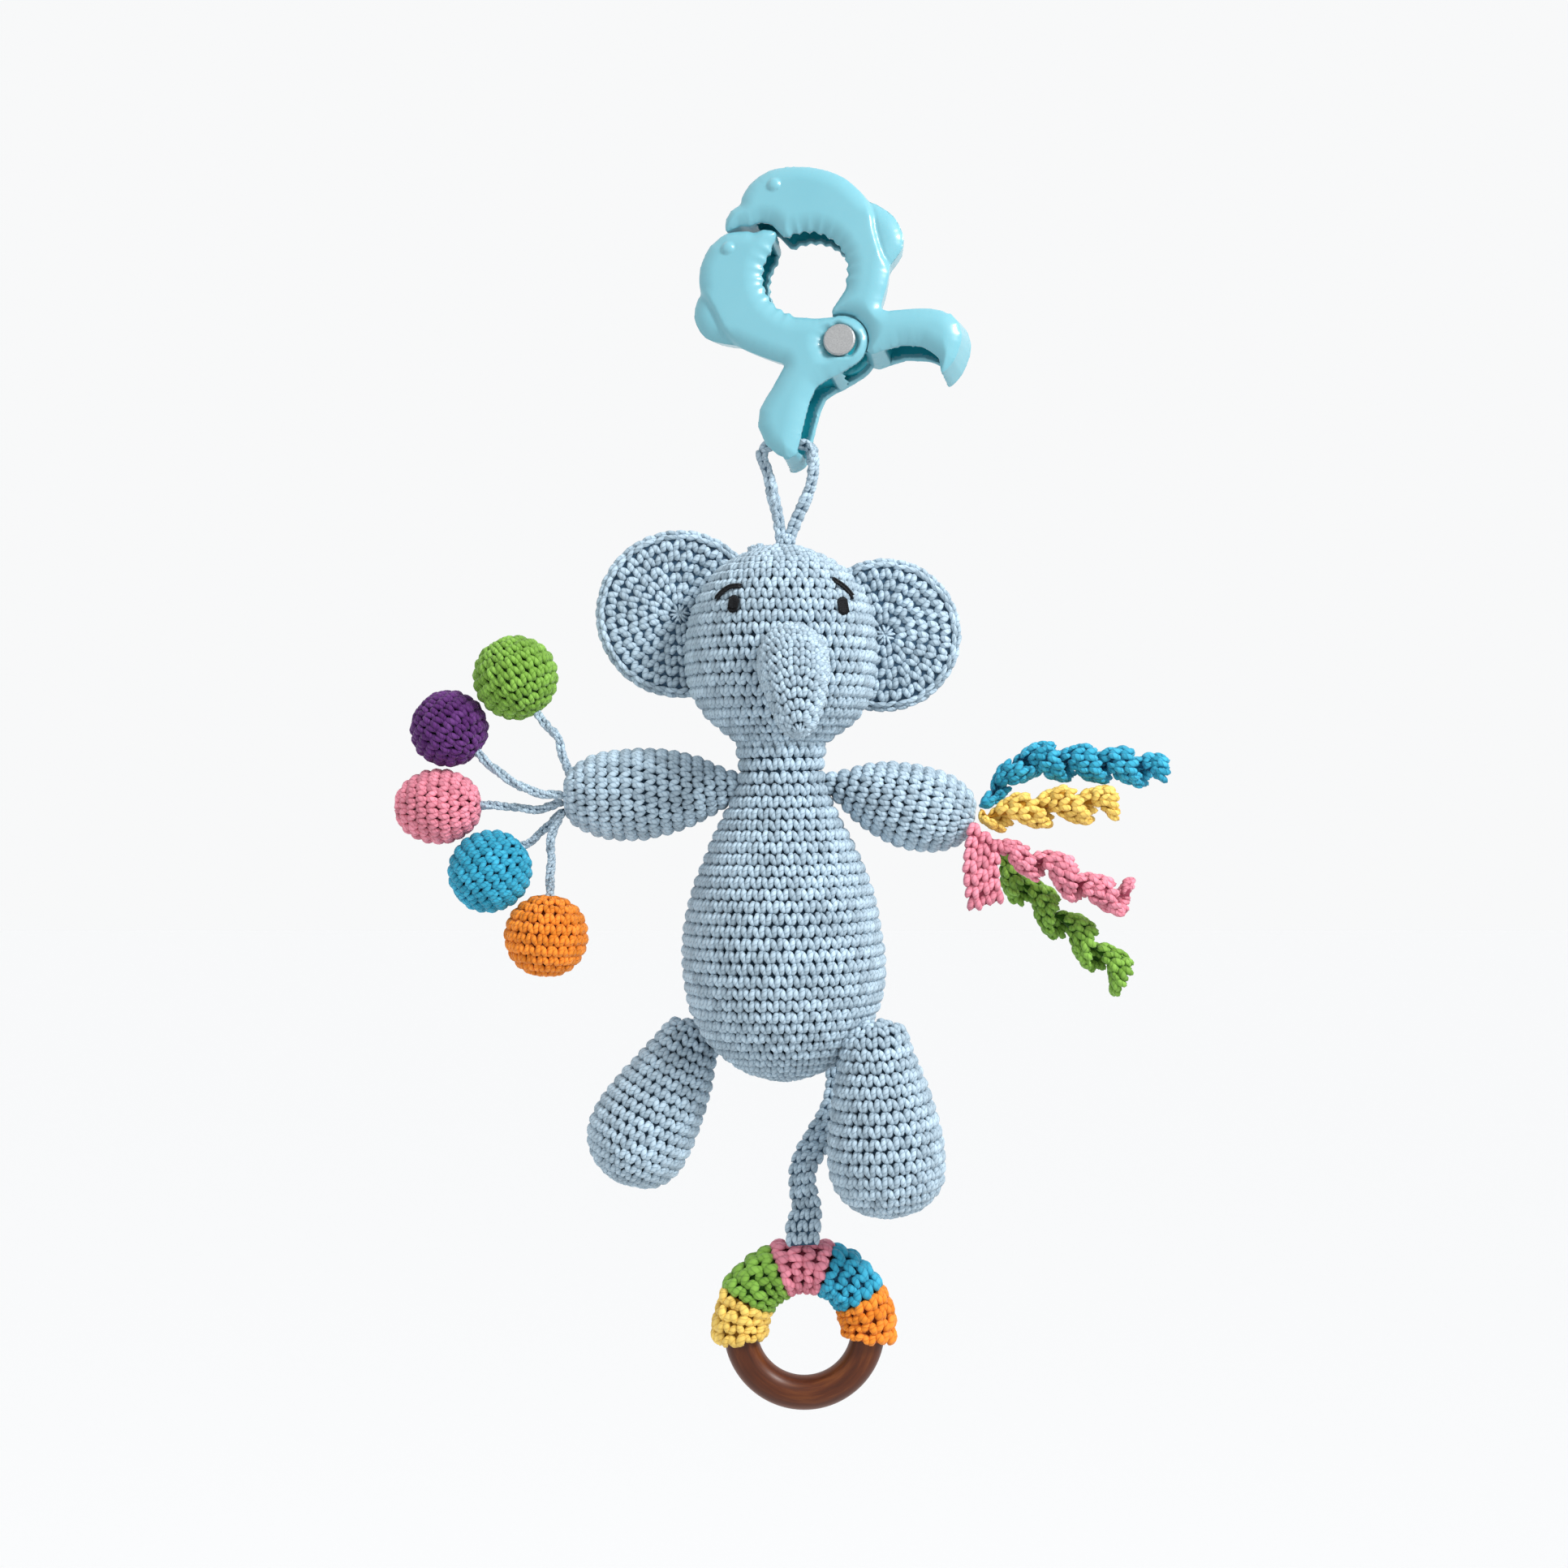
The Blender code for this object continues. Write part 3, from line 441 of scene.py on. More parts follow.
def facing_angles(up, out):
    """Euler angles that turn a stitch's y to up and its z to out."""
    z = unit_rows(out)
    x = unit_rows(np.cross(up, z))
    y = np.cross(z, x)
    pitch = -np.arcsin(np.clip(x[:, 2], -1, 1))
    return np.stack((np.arctan2(y[:, 2], z[:, 2]), pitch, np.arctan2(x[:, 1], x[:, 0])), axis=1)


def gather(*sets):
    """Joins several sets of places into one."""
    return tuple(np.concatenate(parts) for parts in zip(*sets))


def grid_mesh(name, rings, loop=False):
    """A mesh through rings of points. The ends are closed by fans, or joined to each other for a loop."""
    rings = np.asarray(rings)
    rows, sides = rings.shape[:2]
    verts = [tuple(p) for p in rings.reshape(-1, 3)]
    faces = []
    for r in range(rows if loop else rows - 1):
        for k in range(sides):
            n, m = (k + 1) % sides, (r + 1) % rows
            faces.append((r * sides + k, r * sides + n, m * sides + n, m * sides + k))
    for r in () if loop else (0, rows - 1):
        middle = len(verts)
        verts.append(tuple(rings[r].mean(axis=0)))
        for k in range(sides):
            here, after = r * sides + k, r * sides + (k + 1) % sides
            faces.append((middle, after, here) if r == 0 else (middle, here, after))
    mesh = bpy.data.meshes.new(name)
    mesh.from_pydata(verts, [], faces)
    work = bmesh.new()
    work.from_mesh(mesh)
    bmesh.ops.recalc_face_normals(work, faces=work.faces)
    work.to_mesh(mesh)
    work.free()
    mesh.shade_smooth()
    made = bpy.data.objects.new(name, mesh)
    SCENE.collection.objects.link(made)
    return made


def crochet(name, places, behind, yarn_name, stitch=None, wobble=0.12, unevenness=0.05, seed=1):
    """Runs the crochet tree on the places and returns the finished mesh object."""
    spots, up, out, size = places
    guide_mesh = bpy.data.meshes.new(name + "_places")
    guide_mesh.from_pydata([tuple(s) for s in spots], [], [])
    for key, values in (("facing", facing_angles(up, out)), ("size", size)):
        layer = guide_mesh.attributes.new(key, "FLOAT_VECTOR", "POINT")
        layer.data.foreach_set("vector", np.asarray(values, np.float32).ravel())
    guide = bpy.data.objects.new(name + "_places", guide_mesh)
    SCENE.collection.objects.link(guide)
    step = guide.modifiers.new("crochet", "NODES")
    step.node_group = CROCHET
    given = {
        "Stitch": stitch or V_STITCH,
        "Behind": behind,
        "Yarn": YARNS[yarn_name],
        "Wobble": wobble,
        "Unevenness": unevenness,
        "Seed": seed,
    }
    for item in CROCHET.interface.items_tree:
        if item.in_out == "INPUT" and item.name in given:
            step[item.identifier] = given[item.name]
    graph = bpy.context.evaluated_depsgraph_get()
    mesh = bpy.data.meshes.new_from_object(guide.evaluated_get(graph))
    mesh.name = name
    made = bpy.data.objects.new(name, mesh)
    SCENE.collection.objects.link(made)
    bpy.data.objects.remove(guide, do_unlink=True)
    if behind:
        bpy.data.objects.remove(behind, do_unlink=True)
    print(name, "stitches:", len(spots), "triangles:", sum(len(p.vertices) - 2 for p in mesh.polygons))
    return made


# %% [markdown]
# ## Stuffed forms
#
# The head, body, limbs and balls are worked in rounds, so each is a tube that swells and closes. A form is a
# table of sections along an axis, and shape() gives the point at a distance along the surface and an angle
# round it. The rows lie one gauge apart along it, and each row has as many stitches as fit round. The stuffing
# makes soft lumps, which are a few slow waves added to the radius.

# %% Stuffed forms
STRAND_TOP = 1.45 * MM  # from a stitch's own middle out to the top of its legs
BEHIND_DEPTH = 0.95 * MM  # from a stitch's own middle in to the surface behind
LEAN = 0.16  # sideways share of the way up of each stitch
DRIFT = 0.32  # of a stitch: how far each round leans over the one below
BEHIND_SIDES = 28
PINCH = 3.6 * MM  # how deep a sewn edge is drawn in
PINCH_REACH = 2.6 * MM


def curve_through(points, count):
    """Evenly spaced samples of a smooth curve through rows of numbers."""
    points = np.asarray(points, float)
    padded = np.vstack((2 * points[0] - points[1], points, 2 * points[-1] - points[-2]))
    dense = []
    for i in range(1, len(padded) - 2):
        p0, p1, p2, p3 = padded[i - 1 : i + 3]
        t = np.linspace(0, 1, 24, endpoint=False)[:, None]
        square, cube = 2 * p0 - 5 * p1 + 4 * p2 - p3, 3 * p1 - p0 - 3 * p2 + p3
        dense.append(0.5 * (2 * p1 + (p2 - p0) * t + square * t**2 + cube * t**3))
    dense.append(points[-1][None])
    dense = np.vstack(dense)
    far = np.concatenate(([0], np.cumsum(np.linalg.norm(np.diff(dense, axis=0), axis=1))))
    even = np.linspace(0, far[-1], count)
    return np.stack([np.interp(even, far, dense[:, k]) for k in range(dense.shape[1])], axis=1), far[-1]


ELLIPSE = np.linspace(0, 2 * math.pi, 181)


def ellipse_run(a, b):
    """How far each angle of ELLIPSE lies round an ellipse's edge."""
    x, y = a * np.cos(ELLIPSE), b * np.sin(ELLIPSE)
    return np.concatenate(([0], np.cumsum(np.hypot(np.diff(x), np.diff(y)))))


class Form:
    """A stuffed form: (distance, half width, half depth) sections in millimetres from start towards end."""

    def __init__(self, start, end, sections, depth_way=(0, 1, 0), lump=0.35 * MM, seed=0, bend=(0, 0, 0)):
        sections = [(s[0], s[1], s[-1]) for s in sections]
        table, _ = curve_through(np.array(sections) * MM, 160)
        table[:, 1:] = np.maximum(table[:, 1:], 0)
        way = (Vector(end) - Vector(start)).normalized()
        side = Vector(depth_way).cross(way).normalized()
        self.start, self.way, self.side = np.array(start, float), np.array(way), np.array(side)
        self.depth = np.array(way.cross(side))
        steps = np.hypot(np.diff(table[:, 0]), np.diff((table[:, 1] + table[:, 2]) / 2))
        self.far = np.concatenate(([0], np.cumsum(steps)))
        self.length = self.far[-1]
        self.table, self.lump, self.bend = table, lump, np.array(bend, float)
        self.phase = np.random.default_rng(seed).uniform(0, 2 * math.pi, 4)
        self.seam = None

    def radii(self, s):
        return np.interp(s, self.far, self.table[:, 1]), np.interp(s, self.far, self.table[:, 2])

    def shape(self, s, turn, sink=0.0):
        """Points at distances s along the surface and angles turn round it, sunk in by a distance."""
        s, turn = np.broadcast_arrays(np.asarray(s, float), np.asarray(turn, float))
        d = np.interp(s, self.far, self.table[:, 0])
        a, b = self.radii(s)
        p = self.phase
        soft = np.clip(np.minimum(a, b) / (10 * MM), 0, 1)
        wave = np.sin(2 * turn + p[0] + s * 40) + np.sin(3 * turn + p[1] - s * 70)
        wave = wave + np.sin(s * 160 + turn + p[2])
        lump = self.lump * wave * 0.5 * soft
        if self.seam is not None:
            start = np.interp(turn % (2 * math.pi), self.seam[0], self.seam[1])
            sink = sink + PINCH * np.exp(-np.maximum(s - start, 0) / PINCH_REACH)
        a = np.maximum(a + lump - sink, 0.0)
        b = np.maximum(b + lump - sink, 0.0)
        share = (d / self.table[-1, 0])[..., None]
        centre = self.start + self.way * d[..., None] + self.bend * share * (1 - share) * 4
        return centre + self.side * (a * np.cos(turn))[..., None] + self.depth * (b * np.sin(turn))[..., None]

    def frame(self, s, turn):
        """Point, way along the surface and way out of it."""
        e = 0.2 * MM
        here = self.shape(s, turn)
        along = self.shape(np.minimum(s + e, self.length), turn) - self.shape(np.maximum(s - e, 0), turn)
        a = 0.02
        round_ = self.shape(s, turn + a) - self.shape(s, turn - a)
        out = unit_rows(np.cross(round_, along))
        return here, unit_rows(along), out

    def rounds(self, up=-1, first=0.0, last=None, gauge=GAUGE, row=GAUGE, edge=None):
        """Places of the stitches, row by row. The V opens along the work if up is 1, against it if -1."""
        last = self.length if last is None else last
        rows = max(1, round((last - first) / row))
        pitch = (last - first) / rows
        sets = []
        lean = 0.0
        for r in range(rows):
            middle = first + (r + 0.5) * pitch
            a, b = self.radii(middle)
            run = ellipse_run(a, b)
            count = max(5, round(run[-1] / gauge))
            lean += DRIFT
            turn = np.interp((np.arange(count) + lean) / count % 1 * run[-1], run, ELLIPSE)
            s = np.full(count, middle)
            stretch = np.full(count, pitch)
            if edge is not None:
                low = edge(turn)
                s = low + (last - low) * (r + 0.5) / rows
                stretch = (last - low) / rows
            here, along, out = self.frame(s, turn)
            wide = run[-1] / count / GAUGE
            tall = np.full(count, min(1.0, wide * 1.3))
            size = np.stack((np.full(count, wide), stretch / GAUGE, tall), axis=1)
            leaning = along * up + np.cross(out, along * up) * LEAN
            sets.append((here - out * STRAND_TOP, leaning, out, size))
        return gather(*sets)

    def behind(self, name, first=0.0, last=None, edge=None, rows=26, sink=STRAND_TOP + BEHIND_DEPTH):
        """The closed surface behind the stitches. Set behind stitches, it takes the yarn's painted shade colour."""
        last = self.length if last is None else last
        turn = 2 * math.pi * np.arange(BEHIND_SIDES) / BEHIND_SIDES
        rings = []
        for share in np.linspace(0, 1, rows):
            low = first if edge is None else edge(turn)
            s = low + (last - low) * share
            s = np.minimum(np.broadcast_to(s, turn.shape), self.length - 0.5 * MM)
            here, _, out = self.frame(s, turn)
            rings.append(here - out * sink)
        return grid_mesh(name, rings)


def shown(piece, body, node):
    """What every piece says to the frame. A blended piece has no body of its own."""
    if body:
        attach(piece, body)
    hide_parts(node)


def stuffed(piece, body, node):
    """What a stuffed piece says: the same as shown()."""
    shown(piece, body, node)


# %% [markdown]
# ## Head
#
# The head is worked from the neck up and drawn together under the loop. Its V stitches point down. The yarn's
# fastened end makes a small knob beside the top.

# %% Head
HEAD_START = Vector((-9.0, 0.0, -159.4)) * MM
HEAD_END = Vector((-9.0, 0.0, -92.6)) * MM
HEAD_SECTIONS = (
    (-1.0, 12.6), (1.6, 14.6), (4.5, 18.4), (8.0, 22.8), (12.0, 26.8), (19.5, 31.0), (27.5, 32.4), (35.0, 32.6),
    (43.0, 31.8), (51.0, 29.2), (59.0, 24.0), (63.2, 19.4), (66.6, 13.4), (69.2, 6.4), (70.4, 0.0),
)  # fmt: skip
head_form = Form(HEAD_START, HEAD_END, HEAD_SECTIONS, seed=3)
KNOB_SECTIONS = ((0.0, 3.2), (1.4, 3.3), (3.0, 2.4), (3.9, 0.0))
KNOB_START = Vector((-17.2, -1.0, -92.6)) * MM
KNOB_END = Vector((-18.4, -1.0, -88.6)) * MM
knob_form = Form(KNOB_START, KNOB_END, KNOB_SECTIONS, lump=0, seed=4)
head_places = gather(head_form.rounds(up=1), knob_form.rounds(up=1, gauge=3.0 * MM, row=2.2 * MM))
head = crochet("head", head_places, head_form.behind("head_behind"), "blue_yarn", seed=11)
stuffed(head, "head", "head_cover")

# %% [markdown]
# ## Body
#
# The body starts as a narrow neck inside the head, widens to the belly and closes underneath.

# %% Body
BODY_START = Vector((-9.6, 0.0, -154.0)) * MM
BODY_END = Vector((-7.8, 0.0, -272.0)) * MM
BODY_SECTIONS = (
    (0.0, 14.5), (4.0, 15.6), (9.0, 15.0), (14.0, 15.2), (22.6, 17.8), (36.6, 24.4), (52.6, 30.8), (68.6, 33.9),
    (82.6, 34.2), (94.6, 31.6), (105.6, 24.6), (113.9, 14.0), (118.4, 0.0),
)  # fmt: skip
body_form = Form(BODY_START, BODY_END, BODY_SECTIONS, seed=5)
body = crochet("body", body_form.rounds(up=-1), body_form.behind("body_behind"), "blue_yarn", seed=21)
stuffed(body, None, "body_cover")
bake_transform(body)

# %% [markdown]
# ## Arms
#
# Each arm is stuffed at the hand and comes to a point where it's sewn to the body.

# %% Arms
ARM_SECTIONS = (
    (-6.0, 3.2), (-2.0, 4.6), (3.0, 6.8), (11.0, 10.8), (20.0, 13.8), (31.0, 15.5), (42.0, 15.1),
    (50.5, 12.5), (56.5, 8.0), (58.9, 0.0),
)  # fmt: skip
ARMS = {
    "right_arm": (Vector((-25.0, 0.0, -171.6)) * MM, Vector((-82.2, 0.0, -175.8)) * MM, 1.0, 1.0),
    "left_arm": (Vector((9.4, -1.0, -171.2)) * MM, Vector((56.4, -1.0, -183.8)) * MM, 48.7 / 58.8, 0.93),
}
arm_forms = {}
for number, (name, (shoulder, hand, reach, girth)) in enumerate(ARMS.items()):
    sections = [(d * reach, r * girth) for d, r in ARM_SECTIONS]
    form = Form(shoulder, hand, sections, seed=31 + number)
    arm = crochet(name, form.rounds(up=-1), form.behind(name + "_behind"), "blue_yarn", seed=31 + number)
    stuffed(arm, None, name + "_cover")
    way = (hand - shoulder).normalized()
    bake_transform(arm)
    arm_forms[name] = form

# %% [markdown]
# ## Legs
#
# A leg closes round at the foot. Its upper end is pressed flat and sewn to the body, so the sections start
# wide and thin and turn round as they go down.

# %% Legs
LEG_SECTIONS = (
    (-1.0, 1.5, 0.8), (0.8, 7.6, 3.2), (4.0, 10.8, 6.2), (11.0, 12.8, 11.0), (22.0, 15.9, 15.2), (36.0, 18.8, 18.2),
    (46.0, 19.6, 19.4), (55.0, 17.8, 17.8), (62.0, 11.6, 11.6), (66.2, 0.0, 0.0),
)  # fmt: skip
LEGS = {
    "right_leg": (Vector((-37.4, 6.0, -253.0)) * MM, Vector((-62.8, 4.0, -301.6)) * MM, 0.92),
    "left_leg": (Vector((21.8, -17.5, -249.4)) * MM, Vector((27.4, -16.0, -314.4)) * MM, 1.0),
}
leg_forms = {}
for number, (name, (hip, foot, scale)) in enumerate(LEGS.items()):
    sections = [(d * scale, w * scale, t * scale) for d, w, t in LEG_SECTIONS]
    form = Form(hip, foot, sections, seed=41 + number)
    leg = crochet(name, form.rounds(up=-1), form.behind(name + "_behind"), "blue_yarn", seed=41 + number)
    stuffed(leg, None, name + "_cover")
    way = (foot - hip).normalized()
    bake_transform(leg)
    leg_forms[name] = form

# %% [markdown]
# ## Trunk
#
# The trunk is a small cone sewn on at a slant, so its rows can't start level. For every angle round it, a
# search finds where the cone leaves the head, and the rows are spread from there to the tip.

# %% Trunk
TRUNK_START = Vector((-6.4, -19.0, -123.6)) * MM
TRUNK_END = Vector((-3.4, -56.5, -157.0)) * MM
TRUNK_BEND = Vector((0.0, -4.8, 3.6)) * MM
TRUNK_SECTIONS = (
    (0.0, 11.2), (8.0, 11.8), (16.0, 12.2), (24.0, 11.6), (32.0, 10.0), (40.0, 7.8), (45.0, 5.2), (48.0, 0.0),
)  # fmt: skip
trunk_form = Form(TRUNK_START, TRUNK_END, TRUNK_SECTIONS, seed=7, lump=0.2 * MM, bend=TRUNK_BEND)


def inside_head(points, margin):
    """Which points lie inside the head's surface, grown by a margin."""
    along = points[:, 2] - HEAD_START.z
    radius = np.interp(along, head_form.table[:, 0], head_form.table[:, 1]) + margin
    off = np.hypot(points[:, 0] - HEAD_START.x, points[:, 1] - HEAD_START.y)
    return off < radius


def trunk_edge(turn):
    """The distance along the trunk where it comes out of the head, for each angle round it."""
    turn = np.asarray(turn, float)
    low, high = np.zeros_like(turn), np.full_like(turn, trunk_form.length * 0.8)
    for _ in range(18):
        middle = (low + high) / 2
        hidden = inside_head(trunk_form.shape(middle, turn), -0.6 * MM)
        low, high = np.where(hidden, middle, low), np.where(hidden, high, middle)
    return high


angles = np.linspace(0, 2 * math.pi, 49)
trunk_form.seam = (angles, trunk_edge(angles))
trunk = crochet(
    "trunk",
    trunk_form.rounds(up=-1, edge=trunk_edge, gauge=GAUGE * 0.94, row=GAUGE * 0.85, first=8 * MM),
    trunk_form.behind("trunk_behind", edge=trunk_edge),
    "blue_yarn",
    seed=51,
)
stuffed(trunk, None, "trunk_cover")
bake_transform(trunk)

# %% [markdown]
# ## Stuffing
#
# Fibre fills every closed form. It stays out of sight, but a toy like this has no shape without it. Each
# filling is the same form, sunk well under the stitches.


# %% Stuffing
def fibre():
    made, tree, shader = new_material("filling")
    spot = add(tree, "ShaderNodeTexCoord").outputs["Object"]
    curls = noise(tree, spot, 900.0, Detail=4.0, Distortion=2.0)
    tone = mix(tree, curls, (0.62, 0.62, 0.6), (0.95, 0.95, 0.94))
    finish_material(tree, shader, tone, curls, 1.0, 0.0006, Roughness=0.95)
    return made


FIBRE = fibre()
FILLING_SINK = 3.3 * MM


def stuff(form, name, body, first=0.0):
    """The stuffing inside a form."""
    filling = form.behind(name, first=first, sink=FILLING_SINK)
    filling.data.materials.append(FIBRE)
    stuffed(filling, body, name + "_filling")
    filling.name = name + "_stuffing"
    return filling


stuff(head_form, "head", "head")
stuff(body_form, "body", "body", first=12 * MM)
stuff(trunk_form, "trunk", "trunk", first=11 * MM)
for name, form in arm_forms.items():
    stuff(form, name, name, first=12 * MM)
for name, form in leg_forms.items():
    stuff(form, name, name, first=6 * MM)

# %% [markdown]
# ## Ears
#
# An ear is a flat round: it grows from a ring in the middle, row after row, and the last row turns its
# stitches to the edge like a braid. Both faces show. The side of the ear that meets the head stops there.

# %% Ears
EAR_PLANE = 5.0 * MM
EAR_THICKNESS = 5.0 * MM
EARS = {
    "right_ear": (-43.9 * MM, -112.8 * MM, 29.0 * MM),
    "left_ear": (26.0 * MM, -120.0 * MM, 26.6 * MM),
}
RIM = 3.6 * MM  # the width of the braided edge


def ear_places(cx, cz, radius):
    sets = []
    rows = round((radius - RIM) / (GAUGE * 0.92))
    pitch = (radius - RIM) / rows
    for face in (-1, 1):
        lean = 0.0
        for r in range(rows):
            far = (r + 0.5) * pitch
            count = max(6, round(2 * math.pi * far / (GAUGE * 1.08)))
            lean += DRIFT + 0.5
            a = 2 * math.pi * (np.arange(count) + lean) / count * -face
            ray = np.stack((np.cos(a), np.zeros(count), np.sin(a)), axis=1)
            out = np.tile((0.0, float(face), 0.0), (count, 1))
            spots = np.array((cx, EAR_PLANE, cz)) + ray * far + out * (EAR_THICKNESS / 2 - STRAND_TOP)
            wide = 2 * math.pi * far / count / GAUGE
            size = np.tile((wide, pitch / GAUGE * 1.1, 1.0), (count, 1))
            sets.append((spots, ray, out, size))
        count = round(2 * math.pi * (radius - RIM / 2) / (GAUGE * 0.95))
        a = 2 * math.pi * (np.arange(count) + 0.5) / count
        ray = np.stack((np.cos(a), np.zeros(count), np.sin(a)), axis=1)
        tangent = np.stack((-np.sin(a), np.zeros(count), np.cos(a)), axis=1)
        out = unit_rows(ray * 0.75 + np.array((0.0, float(face), 0.0)))
        spots = np.array((cx, EAR_PLANE, cz)) + ray * (radius - 2.3 * MM) + np.array((0, face * 0.7 * MM, 0))
        size = np.tile((RIM / GAUGE * 0.8, 1.35, 1.0), (count, 1))
        sets.append((spots, tangent, out, size))
    spots, up, out, size = gather(*sets)
    keep = ~inside_head(spots, -1.6 * MM)
    return spots[keep], up[keep], out[keep], size[keep]


def ear_behind(name, cx, cz, radius):
    """The flat disc between the two faces, which stops just inside the head."""
    a = 2 * math.pi * np.arange(64) / 64
    ray = np.stack((np.cos(a), np.zeros(64), np.sin(a)), axis=1)
    middle = np.array((cx, EAR_PLANE, cz))
    reach = np.zeros(64)
    for far in np.linspace(0, radius - 2.0 * MM, 80):
        clear = ~inside_head(middle + ray * far, -2.4 * MM) & (reach >= far - 0.5 * MM)
        reach = np.where(clear, far, reach)
    rings = []
    for share, y in ((0.05, -1.2), (0.5, -1.2), (0.96, -1.0), (1.0, 0.0), (0.96, 1.0), (0.5, 1.2), (0.05, 1.2)):
        rings.append(middle + ray * (reach * share)[:, None] + np.array((0, y * MM, 0)))
    return grid_mesh(name, rings)


for number, (name, (cx, cz, radius)) in enumerate(EARS.items()):
    behind = ear_behind(name + "_behind", cx, cz, radius)
    ear = crochet(name, ear_places(cx, cz, radius), behind, "blue_yarn", WIDE_STITCH, 0.2, seed=61 + number)
    shown(ear, name, name)

# %% [markdown]
# ## Eyes and brows
#
# They are embroidered: black thread laid side by side over the finished head. An eye is a few upright
# threads, and a brow is two or three that follow an arch.


# %% Face
def black_thread():
    made, tree, shader = new_material("black_thread")
    calc = partial(calculate, tree)
    strand_uv = along_and_round(tree)
    slant = calc("ADD", calc("MULTIPLY", strand_uv["X"], 9.0), calc("MULTIPLY", strand_uv["Y"], 2.0))
    wave = calc("SINE", calc("MULTIPLY", slant, 2 * math.pi))
    spot = add(tree, "ShaderNodeTexCoord").outputs["Object"]
    speck = calc("GREATER_THAN", noise(tree, spot, 3500.0, Detail=2.0), 0.66)
    tone = mix(tree, speck, (0.003, 0.0035, 0.005), (0.03, 0.034, 0.042))
    finish_material(tree, shader, tone, wave, 0.7, 0.0001, Roughness=0.55, Specular_IOR_Level=0.2)
    return made


BLACK = black_thread()
THREAD_SIDES = 8
CAMERA_PLACE = toy_centre() + Vector((0, -CAMERA_DISTANCE, 0))


def on_head(x, z, proud):
    """The spot on the head's front that lines up with (x, z) as seen from the camera, in millimetres."""
    aim = Vector((x, 0.0, z)) * MM
    near, far = CAMERA_PLACE, aim
    for _ in range(40):
        middle = (near + far) / 2
        hidden = inside_head(np.array([tuple(middle)]), proud)[0]
        near, far = (near, middle) if hidden else (middle, far)
    return (near + far) / 2


def embroidery(name, threads, radius):
    """Threads laid side by side. Each is a list of (x, z) in millimetres."""
    strands = []
    for number, route in enumerate(threads):
        route, _ = curve_through(route, 12)
        spots = []
        for i, (x, z) in enumerate(route):
            t = i / (len(route) - 1)
            rise = 1.1 * MM * min(1.0, 6 * t, 6 * (1 - t)) - 0.6 * MM
            spots.append(on_head(x, z, proud=rise + 0.12 * MM * math.sin(5 * t + number)))
        strands.append((spots, [radius * MM] * len(spots)))
    made = strand_object(name, strands, THREAD_SIDES)
    made.data.materials.append(BLACK)
    shown(made, "head", name)


def beside(route, steps, spacing):
    """Copies of a route moved sideways."""
    route = np.array(route, float)
    way = unit_rows(np.gradient(route, axis=0))
    side = np.stack((way[:, 1], -way[:, 0]), axis=1)
    return [route + side * spacing * step for step in steps]


def eye(top, bottom):
    """Upright threads, the outer ones shorter, so that the eye is oval."""
    top, bottom = np.array(top, float), np.array(bottom, float)
    threads = []
    for step in (-2.5, -1.5, -0.5, 0.5, 1.5, 2.5):
        inset = 0.13 * (step / 2.5) ** 2 * (bottom - top)
        threads += beside([top + inset, (top + bottom) / 2, bottom - inset], [step], 0.54)
    return threads


embroidery("right_eye", eye((-24.8, -106.6), (-26.0, -113.0)), 0.46)
embroidery("left_eye", eye((11.2, -107.2), (12.4, -113.9)), 0.46)
RIGHT_BROW = [(-31.6, -108.6), (-29.6, -106.0), (-26.4, -103.9), (-22.2, -103.6)]
LEFT_BROW = [(7.6, -101.0), (10.4, -102.6), (13.0, -104.7), (15.8, -108.2)]
embroidery("right_eyebrow", beside(RIGHT_BROW, [-0.5, 0.5], 0.75), 0.5)
embroidery("left_eyebrow", beside(LEFT_BROW, [-0.5, 0.5], 0.75), 0.5)

# %% [markdown]
# ## Cords
#
# The ball cords and the hanging loop are crocheted chains. A chain is a single file of V stitches, so the
# same stitch is set round a thin core, and the ring of stitches turns a little from link to link.


# %% Chains
def path_frames(points):
    """Way, side and depth at each point of a path. The side turns as little as it can along it."""
    way = unit_rows(np.gradient(points, axis=0))
    side = np.zeros_like(way)
    start = np.cross(way[0], (0.0, 1.0, 0.0))
    side[0] = start / np.linalg.norm(start)
    for i in range(1, len(way)):
        s = side[i - 1] - way[i] * (side[i - 1] @ way[i])
        side[i] = s / np.linalg.norm(s)
    return way, side, np.cross(way, side)


def chain(name, route, radius, yarn_name, seed, link=2.3 * MM, around=3, twist=0.45):
    """A crocheted chain along a route in millimetres."""
    dense, length = curve_through(np.array(route, float) * MM, 120)
    way, side, depth = path_frames(dense)
    count = max(2, round(length / link))
    core = radius * 0.42
    lift = radius - core * 0.5
    sets = []
    for k in range(around):
        at = (np.arange(count) + 0.5 + k / around) / count * (len(dense) - 1)
        pick = np.clip(np.round(at).astype(int), 0, len(dense) - 1)
        a = 2 * math.pi * k / around + twist * np.arange(count)
        out = side[pick] * np.cos(a)[:, None] + depth[pick] * np.sin(a)[:, None]
        wide = 2 * math.pi * radius / around / GAUGE * 0.92
        size = np.tile((wide, length / count / GAUGE * 1.25, radius / (2.9 * MM)), (count, 1))
        spots = dense[pick] + out * (lift - STRAND_TOP * radius / (2.9 * MM))
        sets.append((spots, way[pick], out, size))
    a = 2 * math.pi * np.arange(8) / 8
    rings = [
        p + (s * np.cos(a)[:, None] + d * np.sin(a)[:, None]) * core * 1.25
        for p, s, d in zip(dense[::3], side[::3], depth[::3])
    ]
    return crochet(name, gather(*sets), grid_mesh(name + "_core", rings), yarn_name, seed=seed, unevenness=0.1)


# %% [markdown]
# ## Balls
#
# Five small balls hang from the right hand, each on its own chain. They are worked in rounds from the cord to
# the far side.

